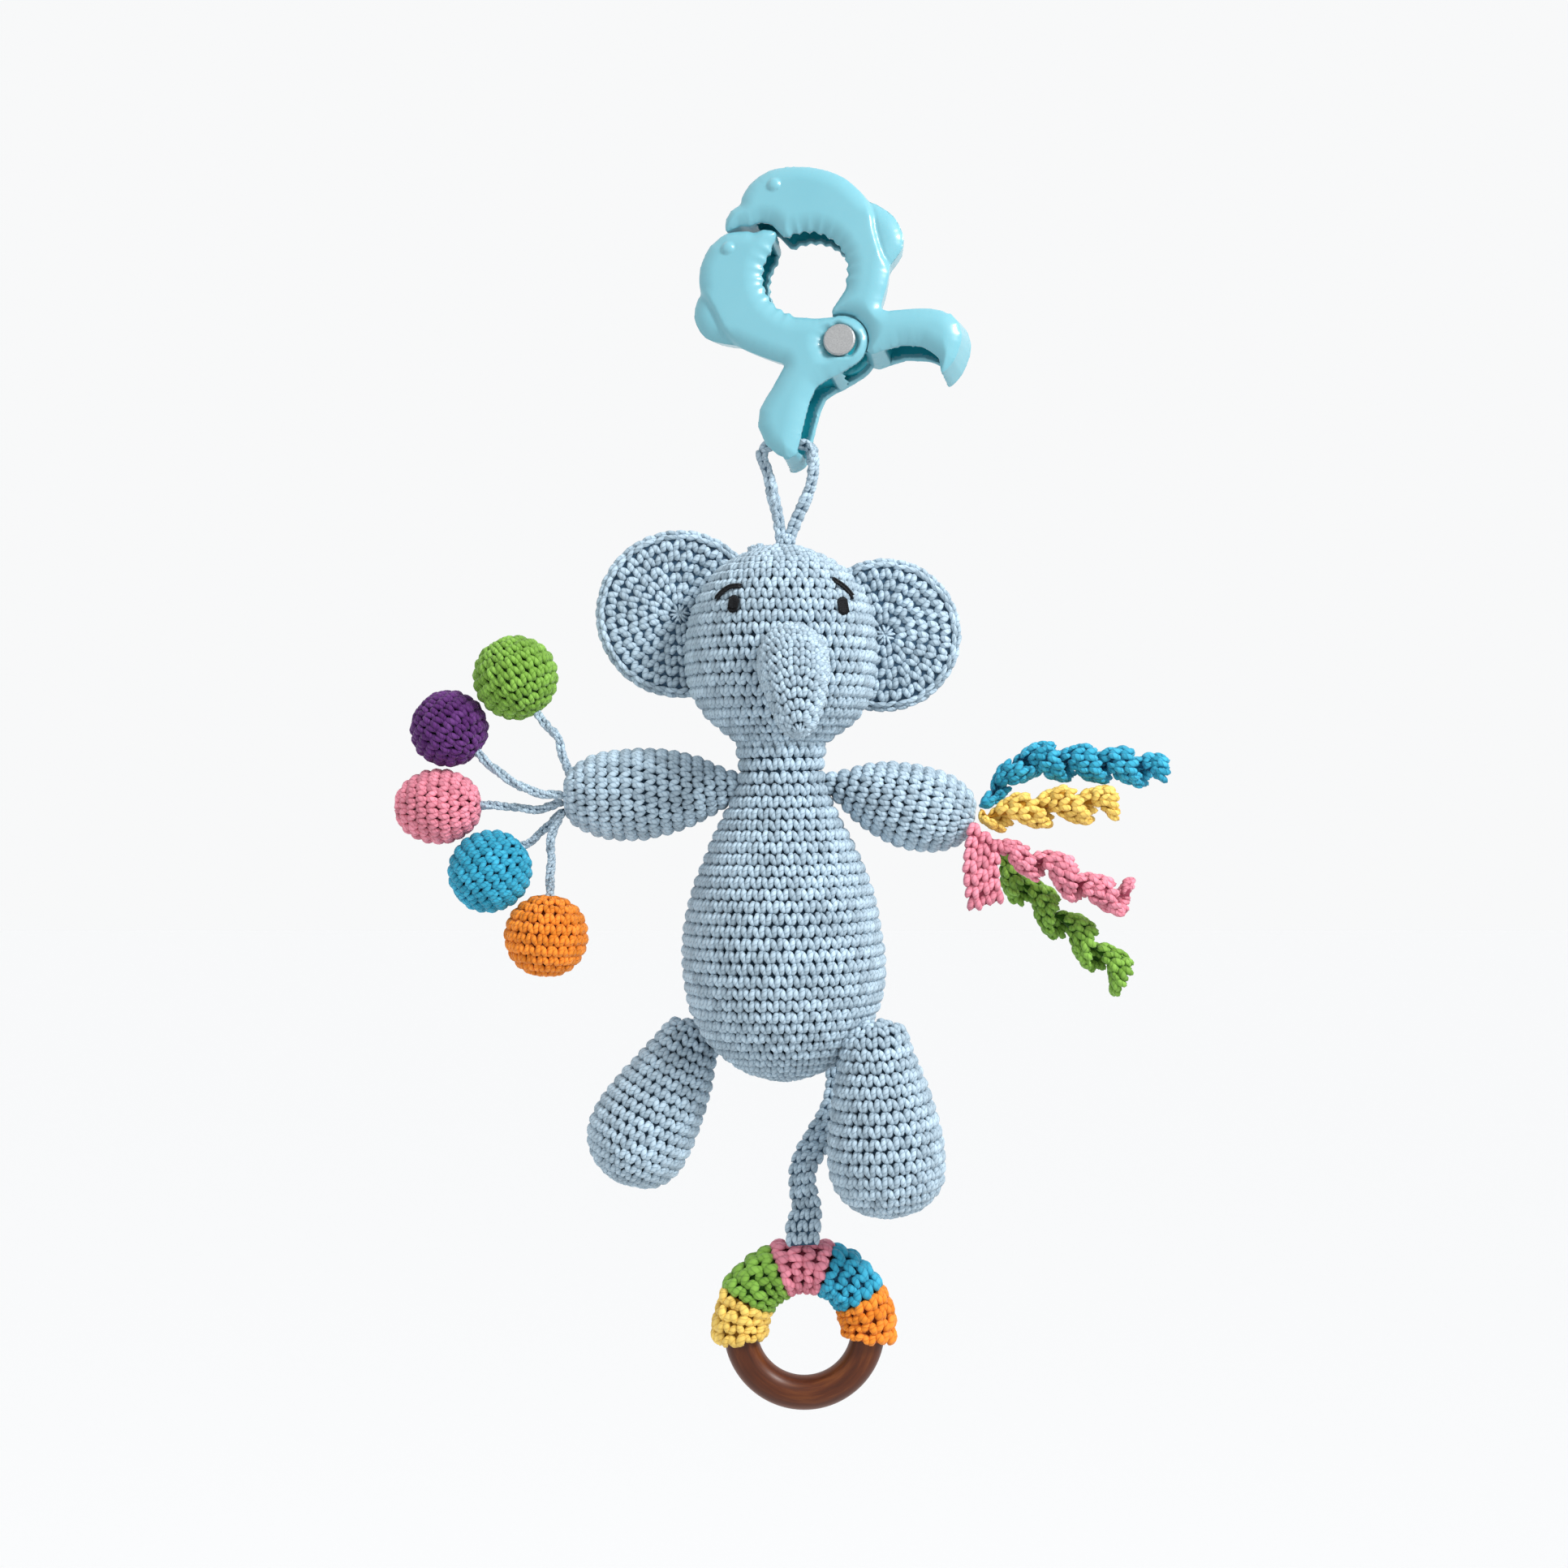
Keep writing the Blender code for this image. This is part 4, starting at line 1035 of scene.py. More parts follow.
# %% Balls
BALLS = {
    "green": ((-99.3, 0.0, -134.8), 14.4, 14.4,
              [(-81.5, 0.0, -166.6), (-83.0, -0.6, -161.5), (-85.0, -1.0, -155.0), (-88.5, -0.8, -151.0),
               (-91.4, -0.4, -147.8)]),
    "purple": ((-121.6, 0.0, -152.0), 13.0, 13.2,
               [(-83.6, -3.4, -174.6), (-92.0, -4.0, -173.6), (-100.5, -3.4, -169.6), (-108.0, -2.0, -164.0),
                (-111.8, -1.0, -160.4)]),
    "pink": ((-125.4, 0.0, -178.4), 15.0, 12.9,
             [(-84.6, 0.0, -177.4), (-93.0, 0.0, -179.6), (-101.0, 0.0, -178.4), (-109.8, 0.0, -178.0)]),
    "blue": ((-107.8, 0.0, -200.4), 14.5, 13.9,
             [(-84.0, 3.4, -180.6), (-88.5, 4.0, -184.8), (-93.0, 2.6, -189.4), (-96.4, 1.4, -191.4)]),
    "orange": ((-88.8, 0.0, -222.2), 14.2, 14.2,
               [(-83.6, -3.0, -181.6), (-86.6, -3.0, -188.0), (-87.0, -1.6, -197.0), (-87.6, -0.4, -207.4)]),
}  # fmt: skip
CORD_RADIUS = 1.45 * MM
for number, (colour, (middle, half, girth, route)) in enumerate(BALLS.items()):
    middle = Vector(middle) * MM
    way = (middle - Vector(route[-1]) * MM).normalized()
    turns = np.linspace(0, math.pi, 15)
    sections = [(half * (1 - math.cos(t)), girth * math.sin(t)) for t in turns]
    form = Form(middle - way * half * MM, middle + way * half * MM, sections, seed=71 + number, lump=0.2 * MM)
    name = colour + "_ball"
    slot = "yarn_" + colour
    places = form.rounds(up=-1, gauge=GAUGE * 0.97, row=GAUGE * 0.95)
    ball = crochet(name, places, form.behind(name + "_behind"), slot, seed=71 + number)
    stuffed(ball, name, name + "_cover")
    stuff(form, name, name)
    inner = Vector(route[-1]) + (middle / MM - Vector(route[-1])).normalized() * 1.5
    hand = Vector(route[0]) + (Vector(route[0]) - Vector(route[1])).normalized() * 1.5
    cord = chain(colour + "_cord", [hand, *route, inner], CORD_RADIUS, "blue_yarn", seed=81 + number)
    shown(cord, colour + "_cord", colour + "_cord")

# %% [markdown]
# ## Loop and knot
#
# The hanging loop is a thicker chain. It runs through the hole in the clip's handle and its ends meet in a
# knot on top of the head.

# %% Loop
CLIP_TURN = Euler((math.radians(-6), 0, math.radians(-12))).to_matrix()
UP = [(-9.6, 0, -88.0), (-9.9, 0, -86.4), (-10.4, -1, -81), (-11.9, -2.6, -74), (-13.2, -4.2, -67)]
OVER = [(-14.4, 0, -61), (-13.4, 0, -57.8), (-9.8, 0, -56.6), (-5.6, 0, -56.4), (-1.4, 0, -56.6),
        (1.7, 0, -57.8), (2.6, 0, -60.8)]  # fmt: skip
DOWN = [(1.2, -5, -67), (-0.8, -2.8, -74), (-3.8, -1, -81), (-5.7, 0, -86.4), (-6.0, 0, -88.0)]
loop_route = [Vector(p) for p in UP] + [CLIP_TURN @ Vector(p) for p in OVER] + [Vector(p) for p in DOWN]
loop = chain("loop", loop_route, 2.0 * MM, "blue_yarn", seed=91, link=3.1 * MM, twist=0.15)
shown(loop, "loop", "hanging_loop")

KNOT_SECTIONS = ((0.0, 1.4), (1.0, 2.4), (2.6, 3.0), (4.4, 2.8), (5.6, 1.4), (6.0, 0.0))
knot_form = Form(Vector((-7.8, 0, -85.6)) * MM, Vector((-7.8, 0, -91.6)) * MM, KNOT_SECTIONS, lump=0, seed=9)
knot = crochet("knot", knot_form.rounds(up=1, gauge=3.4 * MM, row=3.0 * MM), knot_form.behind("knot_behind"),
               "blue_yarn", seed=92)  # fmt: skip
shown(knot, "knot", "loop_knot")

# %% [markdown]
# ## Curled strips
#
# The streamers and the tail are narrow strips. A strip with too many stitches on its outer edge can't lie
# flat, so it curls up like a corkscrew. ribbon() sweeps a bowed strip along a route while it turns, and the
# stitches stand in lines along it on both faces.

# %% Ribbons
RIBBON_HALF = 0.25 * MM  # half the thickness of the strip behind the stitches
RIBBON_LIFT = 0.35 * MM  # how far a stitch stands out from the strip's middle
RIBBON_SLIDE = 9.5 * MM  # how far the strip's outer edge slides along the route


class Ribbon:
    """A strip along a route. Rows are x, y, z and reach in millimetres, and pitch is metres a turn."""

    def __init__(self, table, pitch, phase=0.0, both=False):
        dense, self.length = curve_through(np.array(table, float) * MM, 260)
        self.points, self.reach = dense[:, :3], dense[:, 3]
        self.way, self.side, self.depth = path_frames(self.points)
        self.grid = np.linspace(0, self.length, 260)
        self.pitch, self.phase, self.both = pitch, phase, both

    def pick(self, values, s):
        return np.stack([np.interp(s, self.grid, values[:, k]) for k in range(3)], axis=-1)

    def at(self, s, w):
        """The middle of the strip at a distance along it and a share w across it."""
        s, w = np.broadcast_arrays(np.asarray(s, float), np.asarray(w, float))
        reach = np.interp(s, self.grid, self.reach)
        turn = self.phase + (2 * math.pi * s / self.pitch if self.pitch else 0.0)
        point, way = self.pick(self.points, s), self.pick(self.way, s)
        side, depth = self.pick(self.side, s), self.pick(self.depth, s)
        ray = side * np.cos(turn)[..., None] + depth * np.sin(turn)[..., None]
        if self.both:
            return point + ray * (reach * (w - 0.5) * 2)[..., None]
        bow = w * math.pi / 2
        size = np.minimum(1.0, reach / (5 * MM))
        blunt = np.clip((self.length - s) / (6 * MM), 0.0, 1.0)
        slide = RIBBON_SLIDE * size * blunt * (0.5 - np.cos(bow))
        return point + ray * (reach * np.sin(bow))[..., None] + way * slide[..., None]

    def frame(self, s, w):
        e, f = 0.15 * MM, 0.01
        along = self.at(s + e, w) - self.at(s - e, w)
        across = self.at(s, w + f) - self.at(s, w - f)
        return self.at(s, w), along / (2 * e), across / (2 * f), unit_rows(np.cross(along, across))

    def line(self, w, face, up="across", row=GAUGE, gauge=GAUGE):
        """A line of stitches along the strip."""
        fine = np.linspace(0.4 * MM, self.length - 0.4 * MM, 400)
        _, along, _, _ = self.frame(fine, np.full(400, w))
        run = np.concatenate(([0], np.cumsum(np.linalg.norm(along, axis=1)[1:] * (fine[1] - fine[0]))))
        count = max(2, round(run[-1] / gauge))
        s = np.interp((np.arange(count) + 0.5) / count * run[-1], run, fine)
        here, along, across, out = self.frame(s, np.full(count, w))
        out = out * face
        step = run[-1] / count / GAUGE
        if up == "across":
            size = np.tile((step, row / GAUGE, 0.78), (count, 1))
            way = unit_rows(across)
        else:
            size = np.tile((row / GAUGE, step, 0.78), (count, 1))
            way = unit_rows(along)
        return here + out * RIBBON_LIFT, way, out, size

    def behind(self, name):
        rings = []
        shares = np.linspace(0.02, 0.97, 7)
        for s in np.linspace(0.4 * MM, self.length - 0.4 * MM, int(self.length / (1.3 * MM))):
            here, _, _, out = self.frame(np.full(7, s), shares)
            rings.append(np.concatenate((here + out * RIBBON_HALF, (here - out * RIBBON_HALF)[::-1])))
        return grid_mesh(name, rings)


# %% [markdown]
# ## Streamers
#
# The left hand holds four streamers. Each is a strip sewn on by one end. The pink one begins with a broad
# folded flap in front of the others.

# %% Streamers
STREAMERS = {
    "blue": [(59.6, 4.5, -178, 1.6), (66, 4.5, -171, 3.6), (75, 3.5, -163.4, 5.1), (88, 2, -163.6, 5.4),
             (102, 1, -164.2, 5.4), (112, 0, -165.6, 5.2), (119.8, 0, -167.4, 5.6)],
    "yellow": [(59.8, -4.2, -180, 2.4), (64, -5, -181.4, 4.2), (72, -4.6, -180, 5.2), (84, -3, -178.4, 5.6),
               (94, -2, -177.8, 5.4), (103.0, -1.5, -178.4, 6.0)],
    "pink": [(62, -9, -192, 2.4), (66, -8.4, -193.5, 3.4), (72, -7, -196, 4.2), (83, -5, -199.6, 5.0),
             (93, -4, -206, 5.2), (100.5, -3, -208.2, 5.0), (109.0, -3, -209.0, 5.6)],
    "green": [(58, 8, -188.6, 2.4), (64.5, 10, -194, 4.4), (73, 10, -205, 5.2), (84, 8, -215.5, 5.4),
              (95, 6, -225, 5.6), (102, 4, -231.6, 5.2), (108.4, 3, -237.6, 5.6)],
}  # fmt: skip
STREAMER_GAUGE = 4.4 * MM
STREAMER_LINES = ((0.34, 1), (0.64, 1), (0.92, 1), (0.62, -1), (0.94, -1))  # share across the strip, and face
CURL_PITCH = {"blue": 12.8 * MM, "yellow": 14.5 * MM, "pink": 15.5 * MM, "green": 16.5 * MM}
CURL_START = {"blue": 0.6, "yellow": 2.2, "pink": 4.2, "green": 1.4}
FLAP = ((53.4, -11.0, -182.9), (65.6, -9.0, -191.0), (65.2, -8.0, -210.0), (54.0, -10.0, -213.6))


def flap_places():
    """Stitches on both faces of the pink flap, in lines that run down it."""
    corners = np.array(FLAP) * MM
    sets = []
    for face in (-1, 1):
        for column in range(3):
            u = (column + 0.5) / 3
            top = corners[0] * (1 - u) + corners[1] * u
            low = corners[3] * (1 - u) + corners[2] * u
            count = max(3, round(np.linalg.norm(low - top) / GAUGE))
            t = ((np.arange(count) + 0.5) / count)[:, None]
            bulge = np.array((-1.0, -1.2, 0.0)) * MM * np.sin(math.pi * t) * 2
            spots = top * (1 - t) + low * t + bulge + np.array((0, face * 0.3 * MM, 0))
            up = unit_rows(np.tile(low - top, (count, 1)))
            out = unit_rows(np.tile((0.25 * (u - 0.5), float(face), 0.0), (count, 1)))
            size = np.tile((1.05, np.linalg.norm(low - top) / count / GAUGE * 1.05, 0.9), (count, 1))
            sets.append((spots, up, out, size))
    return gather(*sets)


def flap_behind():
    """The thin sheet between the flap's two faces."""
    corners = np.array(FLAP) * MM
    rings = []
    for t in np.linspace(0.03, 0.97, 9):
        left, right = corners[0] * (1 - t) + corners[3] * t, corners[1] * (1 - t) + corners[2] * t
        bulge = np.array((-1.0, -1.2, 0.0)) * MM * math.sin(math.pi * t) * 2
        across = np.linspace(0.06, 0.94, 5)[:, None]
        middle = left * (1 - across) + right * across + bulge
        thick = np.array((0.0, 0.25 * MM, 0.0))
        rings.append(np.concatenate((middle + thick, (middle - thick)[::-1])))
    return grid_mesh("flap_behind", rings)


def joined(one, two):
    """Adds the second mesh to the first."""
    work = bmesh.new()
    work.from_mesh(one.data)
    work.from_mesh(two.data)
    work.to_mesh(one.data)
    work.free()
    bpy.data.objects.remove(two, do_unlink=True)
    return one


for number, (colour, table) in enumerate(STREAMERS.items()):
    ribbon = Ribbon(table, CURL_PITCH[colour], CURL_START[colour])
    sets = [ribbon.line(share, face, gauge=STREAMER_GAUGE) for share, face in STREAMER_LINES]
    sheet = ribbon.behind(colour + "_streamer_behind")
    if colour == "pink":
        sets.append(flap_places())
        sheet = joined(sheet, flap_behind())
    slot = "yarn_" + colour
    name = colour + "_streamer"
    streamer = crochet(name, gather(*sets), sheet, slot, seed=101 + number, wobble=0.2, unevenness=0.1)
    shown(streamer, name, name)

# %% [markdown]
# ## Tail
#
# The tail is a strip two stitches wide. It twists once or twice on its way down and ends in a wide tab that
# is sewn over the pink band of the sleeve.

# %% Tail
TAIL = [(3.5, 21.5, -255, 3.0), (6.8, 23.5, -262, 3.2), (10.4, 19, -271, 3.2), (9.2, 13, -281.5, 3.6),
        (4.0, 8, -291.5, 4.2), (-1.4, 4, -300.5, 4.6), (-1.8, 0, -308, 4.4), (-0.6, -3, -314, 4.8),
        (-1.8, -6.2, -319.4, 5.8), (-1.8, -8.8, -325.6, 4.8)]  # fmt: skip


class TailRibbon(Ribbon):
    """A strip that swings from side to side instead of turning all the way."""

    def at(self, s, w):
        s = np.asarray(s, float)
        self_turn = self.phase
        share = s / self.length
        self.phase = 0.55 * np.sin(2 * math.pi * 1.5 * share + 0.6) * (1 - share**4)
        result = super().at(s, w)
        self.phase = self_turn
        return result


tail_ribbon = TailRibbon(TAIL, 0.0, both=True)
tail_sets = [
    tail_ribbon.line(w, face, up="along", row=GAUGE * 0.92) for face in (-1, 1) for w in (0.14, 0.5, 0.86)
]
tail_behind = tail_ribbon.behind("tail_behind")
tail = crochet("tail", gather(*tail_sets), tail_behind, "blue_yarn", seed=111, wobble=0.14)
shown(tail, None, "tail")
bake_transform(tail)

# %% [markdown]
# ## Teething ring
#
# The ring is bent from dark wood and oiled, so its grain follows the ring. The texture works out the distance
# from the ring's middle and the angle round it, and stretches the noise along the angle.


# %% Wooden ring
RING_CENTRE = np.array((-1.4, 0.0, -355.3)) * MM
RING_RADIUS = 21.6 * MM
RING_THICKNESS = 5.75 * MM


def wood():
    made, tree, shader = new_material("wood")
    calc = partial(calculate, tree)
    spot = add(tree, "ShaderNodeTexCoord").outputs["Object"]
    off = add(tree, "ShaderNodeVectorMath", {0: spot, 1: tuple(RING_CENTRE)}, operation="SUBTRACT").outputs[0]
    x, y, z = add(tree, "ShaderNodeSeparateXYZ", {0: off}).outputs
    radius = add(tree, "ShaderNodeVectorMath", {0: off}, operation="LENGTH").outputs["Value"]
    round_ring = {
        0: calc("MULTIPLY", radius, 420.0),
        1: calc("MULTIPLY", y, 300.0),
        2: calc("MULTIPLY", calc("ARCTAN2", z, x), 0.9),
    }
    grain = add(tree, "ShaderNodeCombineXYZ", round_ring).outputs[0]
    streaks = calc("MULTIPLY", noise(tree, grain, 1.0, Detail=5.0), 0.8)
    pores = calc("MULTIPLY", noise(tree, grain, 6.0, Detail=3.0), 0.2)
    both = calc("ADD", streaks, pores)
    ramp = add(tree, "ShaderNodeValToRGB", {"Fac": both})
    stops = ramp.color_ramp.elements
    stops[0].position, stops[0].color = 0.3, (*linear(60, 24, 5), 1.0)
    stops[1].position, stops[1].color = 0.72, (*linear(112, 60, 22), 1.0)
    middle = stops.new(0.5)
    middle.color = (*linear(82, 36, 10), 1.0)
    finish_material(tree, shader, ramp.outputs[0], both, 0.3, 0.0001,
                    Roughness=0.42, Specular_IOR_Level=0.25, Coat_Weight=0.12, Coat_Roughness=0.25)  # fmt: skip
    return made


def hoop(a, turn, thick):
    """A point at angle a round the ring and angle turn round its thickness."""
    ray = np.stack((np.cos(a), np.zeros_like(a), np.sin(a)), axis=-1)
    out = ray * np.cos(turn)[..., None] + np.array((0.0, 1.0, 0.0)) * np.sin(turn)[..., None]
    return RING_CENTRE + ray * RING_RADIUS + out * thick, out


turns = 2 * math.pi * np.arange(40) / 40
ring = grid_mesh(
    "teether_ring_wood",
    [hoop(np.full(40, a), turns, RING_THICKNESS)[0] for a in 2 * math.pi * np.arange(128) / 128],
    loop=True,
)
ring.data.materials.append(wood())
shown(ring, "teether", "teether_ring")

# %% [markdown]
# ## Sleeve
#
# A crocheted sleeve covers the upper part of the ring in five colours. Its rows run round the wood, and the
# stitches are bigger and looser than on the elephant.

# %% Sleeve
SLEEVE_OUTSIDE = 9.6 * MM
SLEEVE_ENDS = (189, 152, 112, 70, 29, -9)
SLEEVE_COLOURS = ("yellow", "green", "pink", "blue", "orange")
SLEEVE_ROWS = 4
SLEEVE_AROUND = 11

for number, colour in enumerate(SLEEVE_COLOURS):
    low, high = math.radians(SLEEVE_ENDS[number + 1]), math.radians(SLEEVE_ENDS[number])
    sets = []
    for row in range(SLEEVE_ROWS):
        a = low + (row + 0.5) / SLEEVE_ROWS * (high - low)
        turn = 2 * math.pi * (np.arange(SLEEVE_AROUND) + 0.5 * row + 0.2 * number) / SLEEVE_AROUND
        a = np.full(SLEEVE_AROUND, a)
        here, out = hoop(a, turn, SLEEVE_OUTSIDE - STRAND_TOP * 1.1)
        along = np.stack((-np.sin(a), np.zeros_like(a), np.cos(a)), axis=-1)
        reach = (RING_RADIUS + SLEEVE_OUTSIDE * np.cos(turn)) * (high - low) / SLEEVE_ROWS / GAUGE
        wide = 2 * math.pi * SLEEVE_OUTSIDE / SLEEVE_AROUND / GAUGE
        flat_size = (np.full_like(reach, wide), np.maximum(reach, 0.75), np.full_like(reach, 1.12))
        size = np.stack(flat_size, axis=1)
        sets.append((here, -along, out, size))
    turns = 2 * math.pi * np.arange(24) / 24
    angles = np.linspace(low + 0.02, high - 0.02, 9)
    shell = [hoop(np.full(24, a), turns, SLEEVE_OUTSIDE - 2.5 * MM)[0] for a in angles]
    lining = [hoop(np.full(24, a), turns, RING_THICKNESS + 0.15 * MM)[0] for a in angles[::-1]]
    slot = "yarn_" + colour
    name = "sleeve_band_" + colour
    behind = grid_mesh(name + "_behind", shell + lining, loop=True)
    band = crochet("band_" + colour, gather(*sets), behind, slot, seed=121 + number, wobble=0.28, unevenness=0.16)
    shown(band, "teether", name)

# %% [markdown]
# ## Clip
#
# The clip is two hollow mouldings in glossy plastic. The hollow inside is painted a deeper colour, a painted
# shade for the light that gets in there and bounces from wall to wall.


# %% Plastic
def plastic(name, low, high):
    made, tree, shader = new_material(name)
    spot = add(tree, "ShaderNodeTexCoord").outputs["Object"]
    tone = mix(tree, noise(tree, spot, 45.0, Detail=2.0), low, high)
    fine = noise(tree, spot, 240.0, Detail=1.0)
    finish_material(tree, shader, tone, fine, 0.12, 0.0002,
                    Roughness=0.3, Coat_Weight=0.2, Coat_Roughness=0.08, Subsurface_Weight=0.12,
                    Subsurface_Radius=(0.4, 1.0, 1.2), Subsurface_Scale=0.002)  # fmt: skip
    return made


PLASTIC = plastic("clip_plastic", linear(106, 168, 182), linear(118, 177, 190))
# painted shade: the hollow's deeper colour stands for the light bounced inside it
HOLLOW_SHADE = plastic("clip_painted_hollow_shade", linear(26, 150, 166), linear(40, 162, 178))

# %% [markdown]
# ## Jaws
#
# The mesh of each jaw is rebuilt with even, small faces and relaxed, which rounds the edges as a mould does.
# Then the flat sides are pillowed towards their outline, the fins are set back behind a crease, and each fish
# gets an eye. Last, the outline is drawn in towards the back, so that the jaw could leave its mould.

# %% Jaws
VOXEL = 0.55 * MM
PILLOW = 2.4 * MM  # how far the flat sides fall towards the outline
PILLOW_WIDTH = 6.0 * MM
DRAFT = 3.2 * MM  # how much smaller the outline is at the back
HOLE_RADIUS = 18.0 * MM
RIM_NEIGHBOURS = 24  # rim points that share in each shift, so that the draft changes softly
WALL = 7.2 * MM  # beyond this depth there are only the outer faces and their edges
HOLLOW_DEPTH = 6.9 * MM
HALF_THICKNESS = 9.0 * MM
FLAT = 0.55  # a face turned this far towards the clip's side counts as flat
OUTER_DEPTH = 5.0 * MM  # only faces beyond this depth are shaped
HOLLOW_SHADE_MARGIN = 1.2 * MM  # the painted hollow shade keeps this far from the outline
FIN_REACH = 17.0 * MM
CREASE_WIDTH = 0.9 * MM
CREASE_DEPTH = 0.8 * MM
FIN_STEP = 1.5 * MM  # how far the fins lie below the jaw's side
EYE_RADIUS = 2.2 * MM
EYE_HEIGHT = 1.1 * MM
FISH_EYES = ((-10.7, 30.7), (-26.2, 9.4))
FIN_CREASES = (
    (1, [(20.6, 27.0), (21.7, 24.3), (23.4, 18.4), (24.0, 14.0), (25.4, 8.8), (26.9, 4.4), (30.5, 0.0)]),
    (-1, [(-38.5, -3.4), (-36.5, -5.2), (-33.5, -8.1), (-31.3, -11.8), (-29.5, -15.5), (-27.6, -19.2),
          (-23.0, -25.0)]),
)


def crease_distance(points, line):
    """Signed distance in the clip's plane from a line of points: positive on its outer side."""
    line = np.array(line, float) * MM
    best = np.full(len(points), 1e9)
    sign = np.ones(len(points))
    for a, b in zip(line[:-1], line[1:]):
        way = b - a
        t = np.clip(((points - a) @ way) / (way @ way), 0, 1)
        gap = points - (a + t[:, None] * way)
        far = np.linalg.norm(gap, axis=1)
        side = np.sign(way[0] * gap[:, 1] - way[1] * gap[:, 0])
        sign = np.where(far < best, side, sign)
        best = np.minimum(far, best)
    return best * sign


def remeshed(node, name):
    """A copy of a frame part with small even faces and softened edges."""
    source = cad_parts[node]
    mesh = source.data.copy()
    mesh.transform(source.matrix_world)
    made = bpy.data.objects.new(name, mesh)
    SCENE.collection.objects.link(made)
    remesh = made.modifiers.new("remesh", "REMESH")
    remesh.mode = "VOXEL"
    remesh.voxel_size = VOXEL
    soft = made.modifiers.new("soft", "SMOOTH")
    soft.factor = 0.5
    soft.iterations = 5
    graph = bpy.context.evaluated_depsgraph_get()
    rebuilt = bpy.data.meshes.new_from_object(made.evaluated_get(graph))
    made.modifiers.clear()
    made.data = rebuilt
    return made


def in_clip(mesh):
    """A mesh's spots and normals in the clip's own frame, where y runs through its thickness."""
    spots = np.empty(len(mesh.vertices) * 3)
    mesh.vertices.foreach_get("co", spots)
    normals = np.empty(len(mesh.vertices) * 3)
    mesh.vertex_normals.foreach_get("vector", normals)
    turn = np.array(CLIP_TURN)
    return spots.reshape(-1, 3) @ turn, normals.reshape(-1, 3) @ turn


def search_tree(plane):
    """A search tree of spots in the clip's plane."""
    tree = KDTree(len(plane))
    for index, (x, z) in enumerate(plane):
        tree.insert((x, z, 0), index)
    tree.balance()
    return tree


def relief(plane, near_edge, share, domed):
    """How far each spot sinks: pillowed towards the outline and behind the fins, raised at the eyes."""
    drop = PILLOW * np.clip(1 - near_edge / PILLOW_WIDTH, 0, 1) ** 2 * share
    for way, line in FIN_CREASES:
        gap = crease_distance(plane, line) * way
        middle = (np.array(line) * MM).mean(axis=0)
        reach = np.clip((FIN_REACH - np.linalg.norm(plane - middle, axis=1)) / (3 * MM), 0, 1)
        crease = np.exp(-((gap / CREASE_WIDTH) ** 2)) * CREASE_DEPTH
        beyond = 1 / (1 + np.exp(-np.clip(gap / (0.5 * MM), -40, 40)))
        drop += reach * (crease + FIN_STEP * beyond) * share
    for x, z in FISH_EYES:
        far = np.linalg.norm(plane - np.array((x, z)) * MM, axis=1)
        dome = np.sqrt(np.clip(1 - (far / EYE_RADIUS) ** 2, 0, 1)) * EYE_HEIGHT
        drop -= np.where(domed, dome, 0.0)
    return drop


def draw_in(local, plane, facing, edge):
    """Draws the outline in towards the back, as a mould's draft does. Returns the distances from it."""
    across = np.einsum("ij,ij->i", facing[:, (0, 2)], unit_rows(plane))
    outside = edge & (across > 0.2) & (np.linalg.norm(plane, axis=1) > HOLE_RADIUS)
    rim = search_tree(plane[outside])
    rim_facing = unit_rows(facing[outside][:, (0, 2)])
    rim_gap = np.full(len(plane), 1.0)
    back = np.clip((local[:, 1] + HALF_THICKNESS) / (2 * HALF_THICKNESS), 0, 1) ** 1.3
    for index, (x, z) in enumerate(plane):
        found = rim.find_n((x, z, 0), RIM_NEIGHBOURS)
        gap = found[0][2]
        rim_gap[index] = gap
        beside_handle, down_handle = max(0.0, (x + 6 * MM) / (4 * MM)), max(0.0, (-16 * MM - z) / (4 * MM))
        handle = min(1.0, beside_handle * down_handle)
        fade = (1 - 1.7 * handle) * max(0.0, 1 - gap / (9 * MM)) ** 2
        if fade:
            shift = rim_facing[[near[1] for near in found]].mean(axis=0) * DRAFT * back[index] * fade
            local[index, 0] -= shift[0]
            local[index, 2] -= shift[1]
    return rim_gap


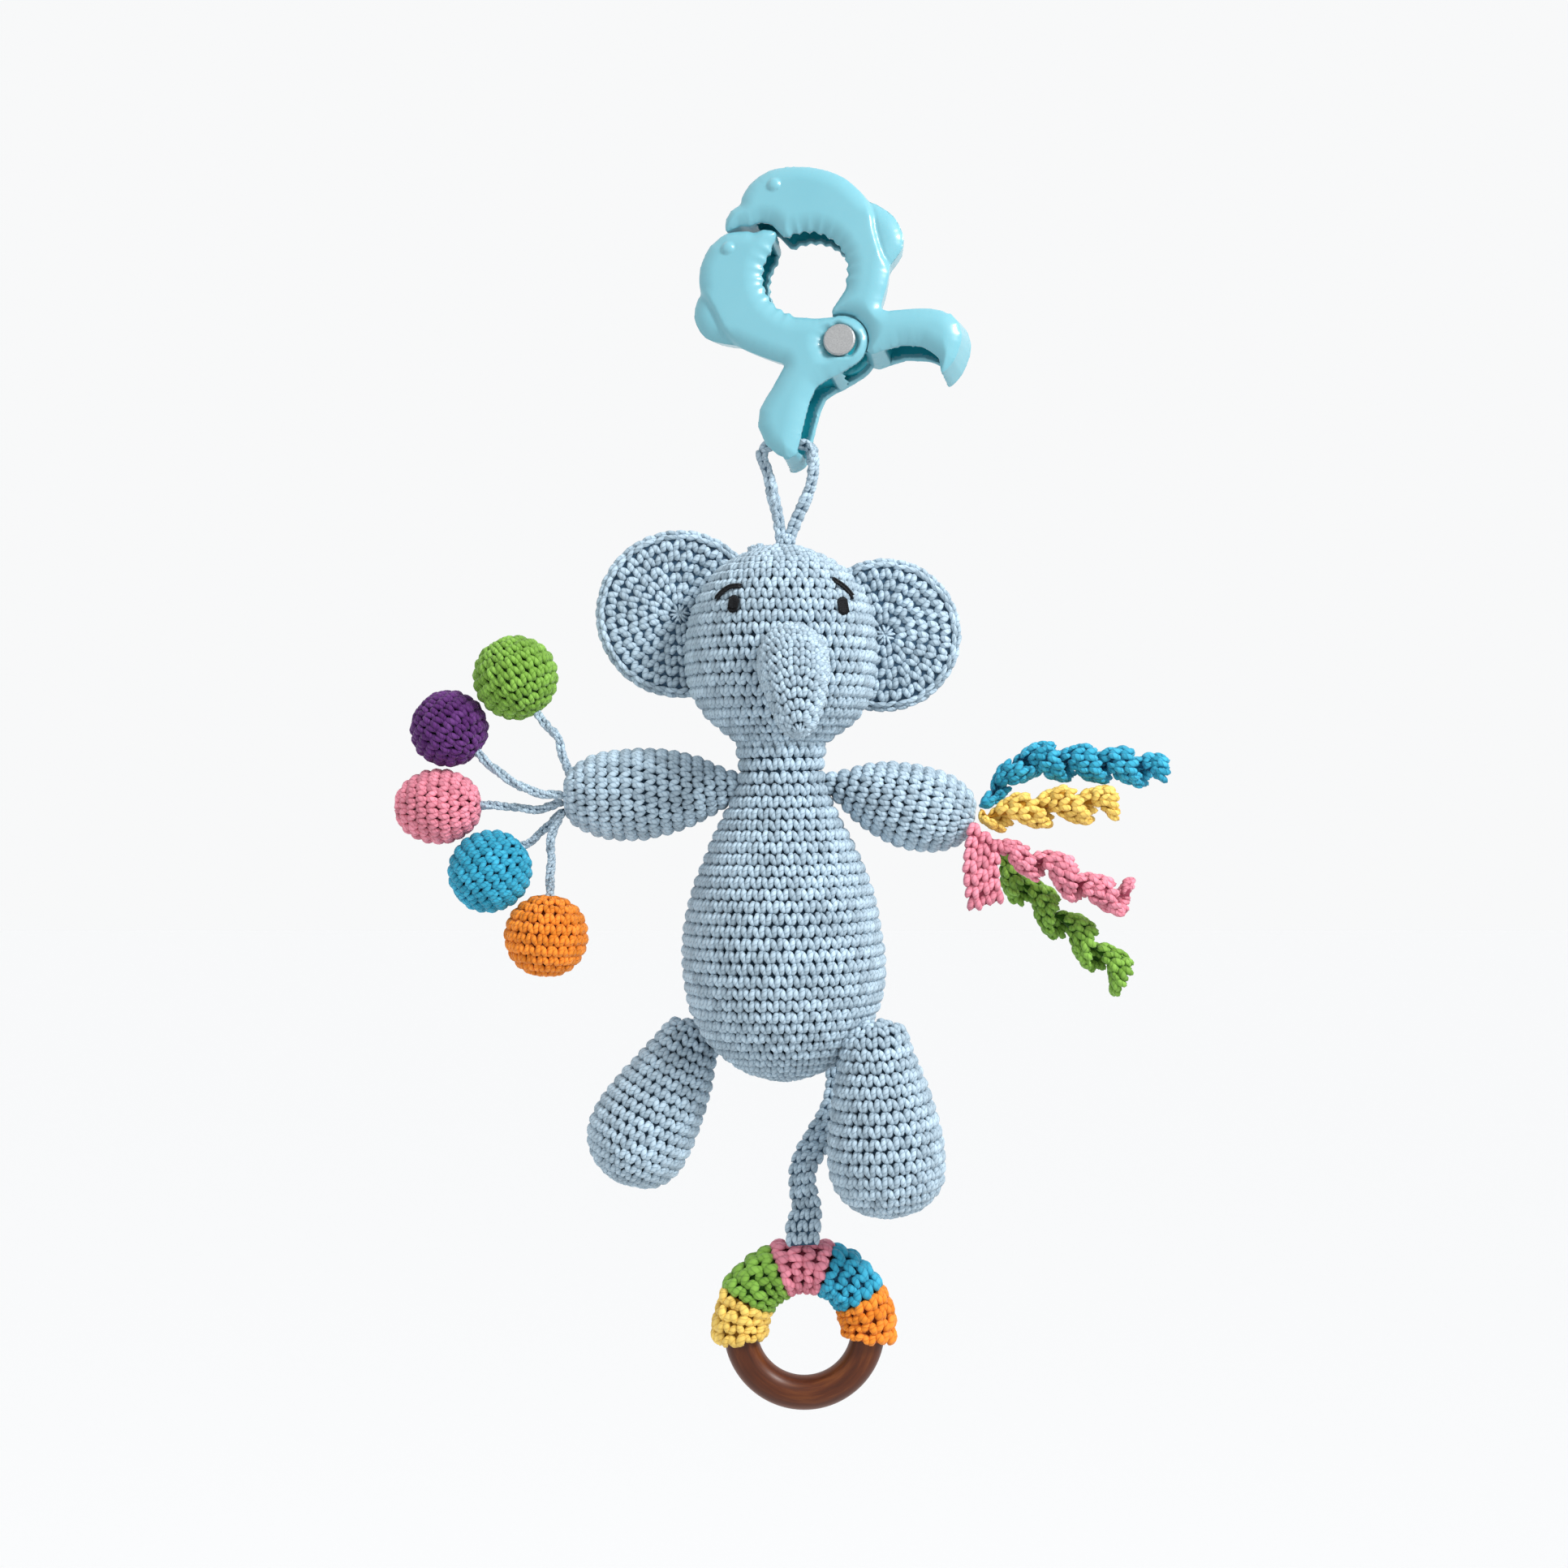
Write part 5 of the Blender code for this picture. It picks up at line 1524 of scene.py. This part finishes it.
def jaw(node, name, body):
    """Shapes one jaw, gives its hollow the painted shade colour and shows it in place of the frame's."""
    made = remeshed(node, name)
    mesh = made.data
    local, facing = in_clip(mesh)
    plane = local[:, (0, 2)]
    thick = np.abs(local[:, 1])
    flat = np.abs(facing[:, 1]) > FLAT
    edge = (np.abs(facing[:, 1]) < FLAT) & (thick > WALL)
    deep_shade = thick < HOLLOW_DEPTH
    outer = thick > OUTER_DEPTH
    side = np.sign(local[:, 1])
    tree = search_tree(plane[edge])
    near_edge = np.where(edge, 0.0, np.array([tree.find((x, z, 0))[2] for x, z in plane]))
    share = np.where(flat, 1.0, np.clip((thick - 4.5 * MM) / (4.5 * MM), 0, 1))
    drop = relief(plane, near_edge, share, flat & outer)
    local[:, 1] -= side * np.where(outer, drop, 0.0)
    rim_gap = draw_in(local, plane, facing, edge)
    mesh.vertices.foreach_set("co", (local @ np.array(CLIP_TURN).T).ravel())
    mesh.materials.clear()
    mesh.materials.append(PLASTIC)
    mesh.materials.append(HOLLOW_SHADE)
    # the painted hollow shade goes on faces deep in the hollow and away from the outline
    inside = deep_shade & (rim_gap > HOLLOW_SHADE_MARGIN) & (near_edge > HOLLOW_SHADE_MARGIN)
    for face in mesh.polygons:
        face.material_index = int(all(inside[v] for v in face.vertices))
    mesh.update()
    mesh.shade_smooth()
    shown(made, body, node)
    print(name, "triangles:", sum(len(p.vertices) - 2 for p in mesh.polygons))
    return made


jaw("clip_lower_jaw", "lower_jaw", "clip")
jaw("clip_upper_jaw", "upper_jaw", "upper_jaw")

# %% [markdown]
# ## Steel
#
# The rivet and the spring keep their frame parts. The rivet's head is dull and speckled, because it is cut
# from plated rod.


# %% Steel
def steel():
    made, tree, shader = new_material("steel")
    spot = add(tree, "ShaderNodeTexCoord").outputs["Object"]
    grit = noise(tree, spot, 2200.0, Detail=3.0, Roughness=0.8)
    tone = mix(tree, grit, linear(118, 120, 121), linear(196, 197, 198))
    finish_material(tree, shader, tone, grit, 0.5, 0.0001, Metallic=0.6, Roughness=0.5)
    return made


STEEL = steel()
for node in ("clip_rivet", "clip_spring"):
    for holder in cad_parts[node].material_slots:
        holder.material = STEEL

# %% [markdown]
# ## Finish
#
# The single stitches have served as patterns and go.

# %% Finish
for pattern in (V_STITCH, WIDE_STITCH):
    bpy.data.objects.remove(pattern, do_unlink=True)
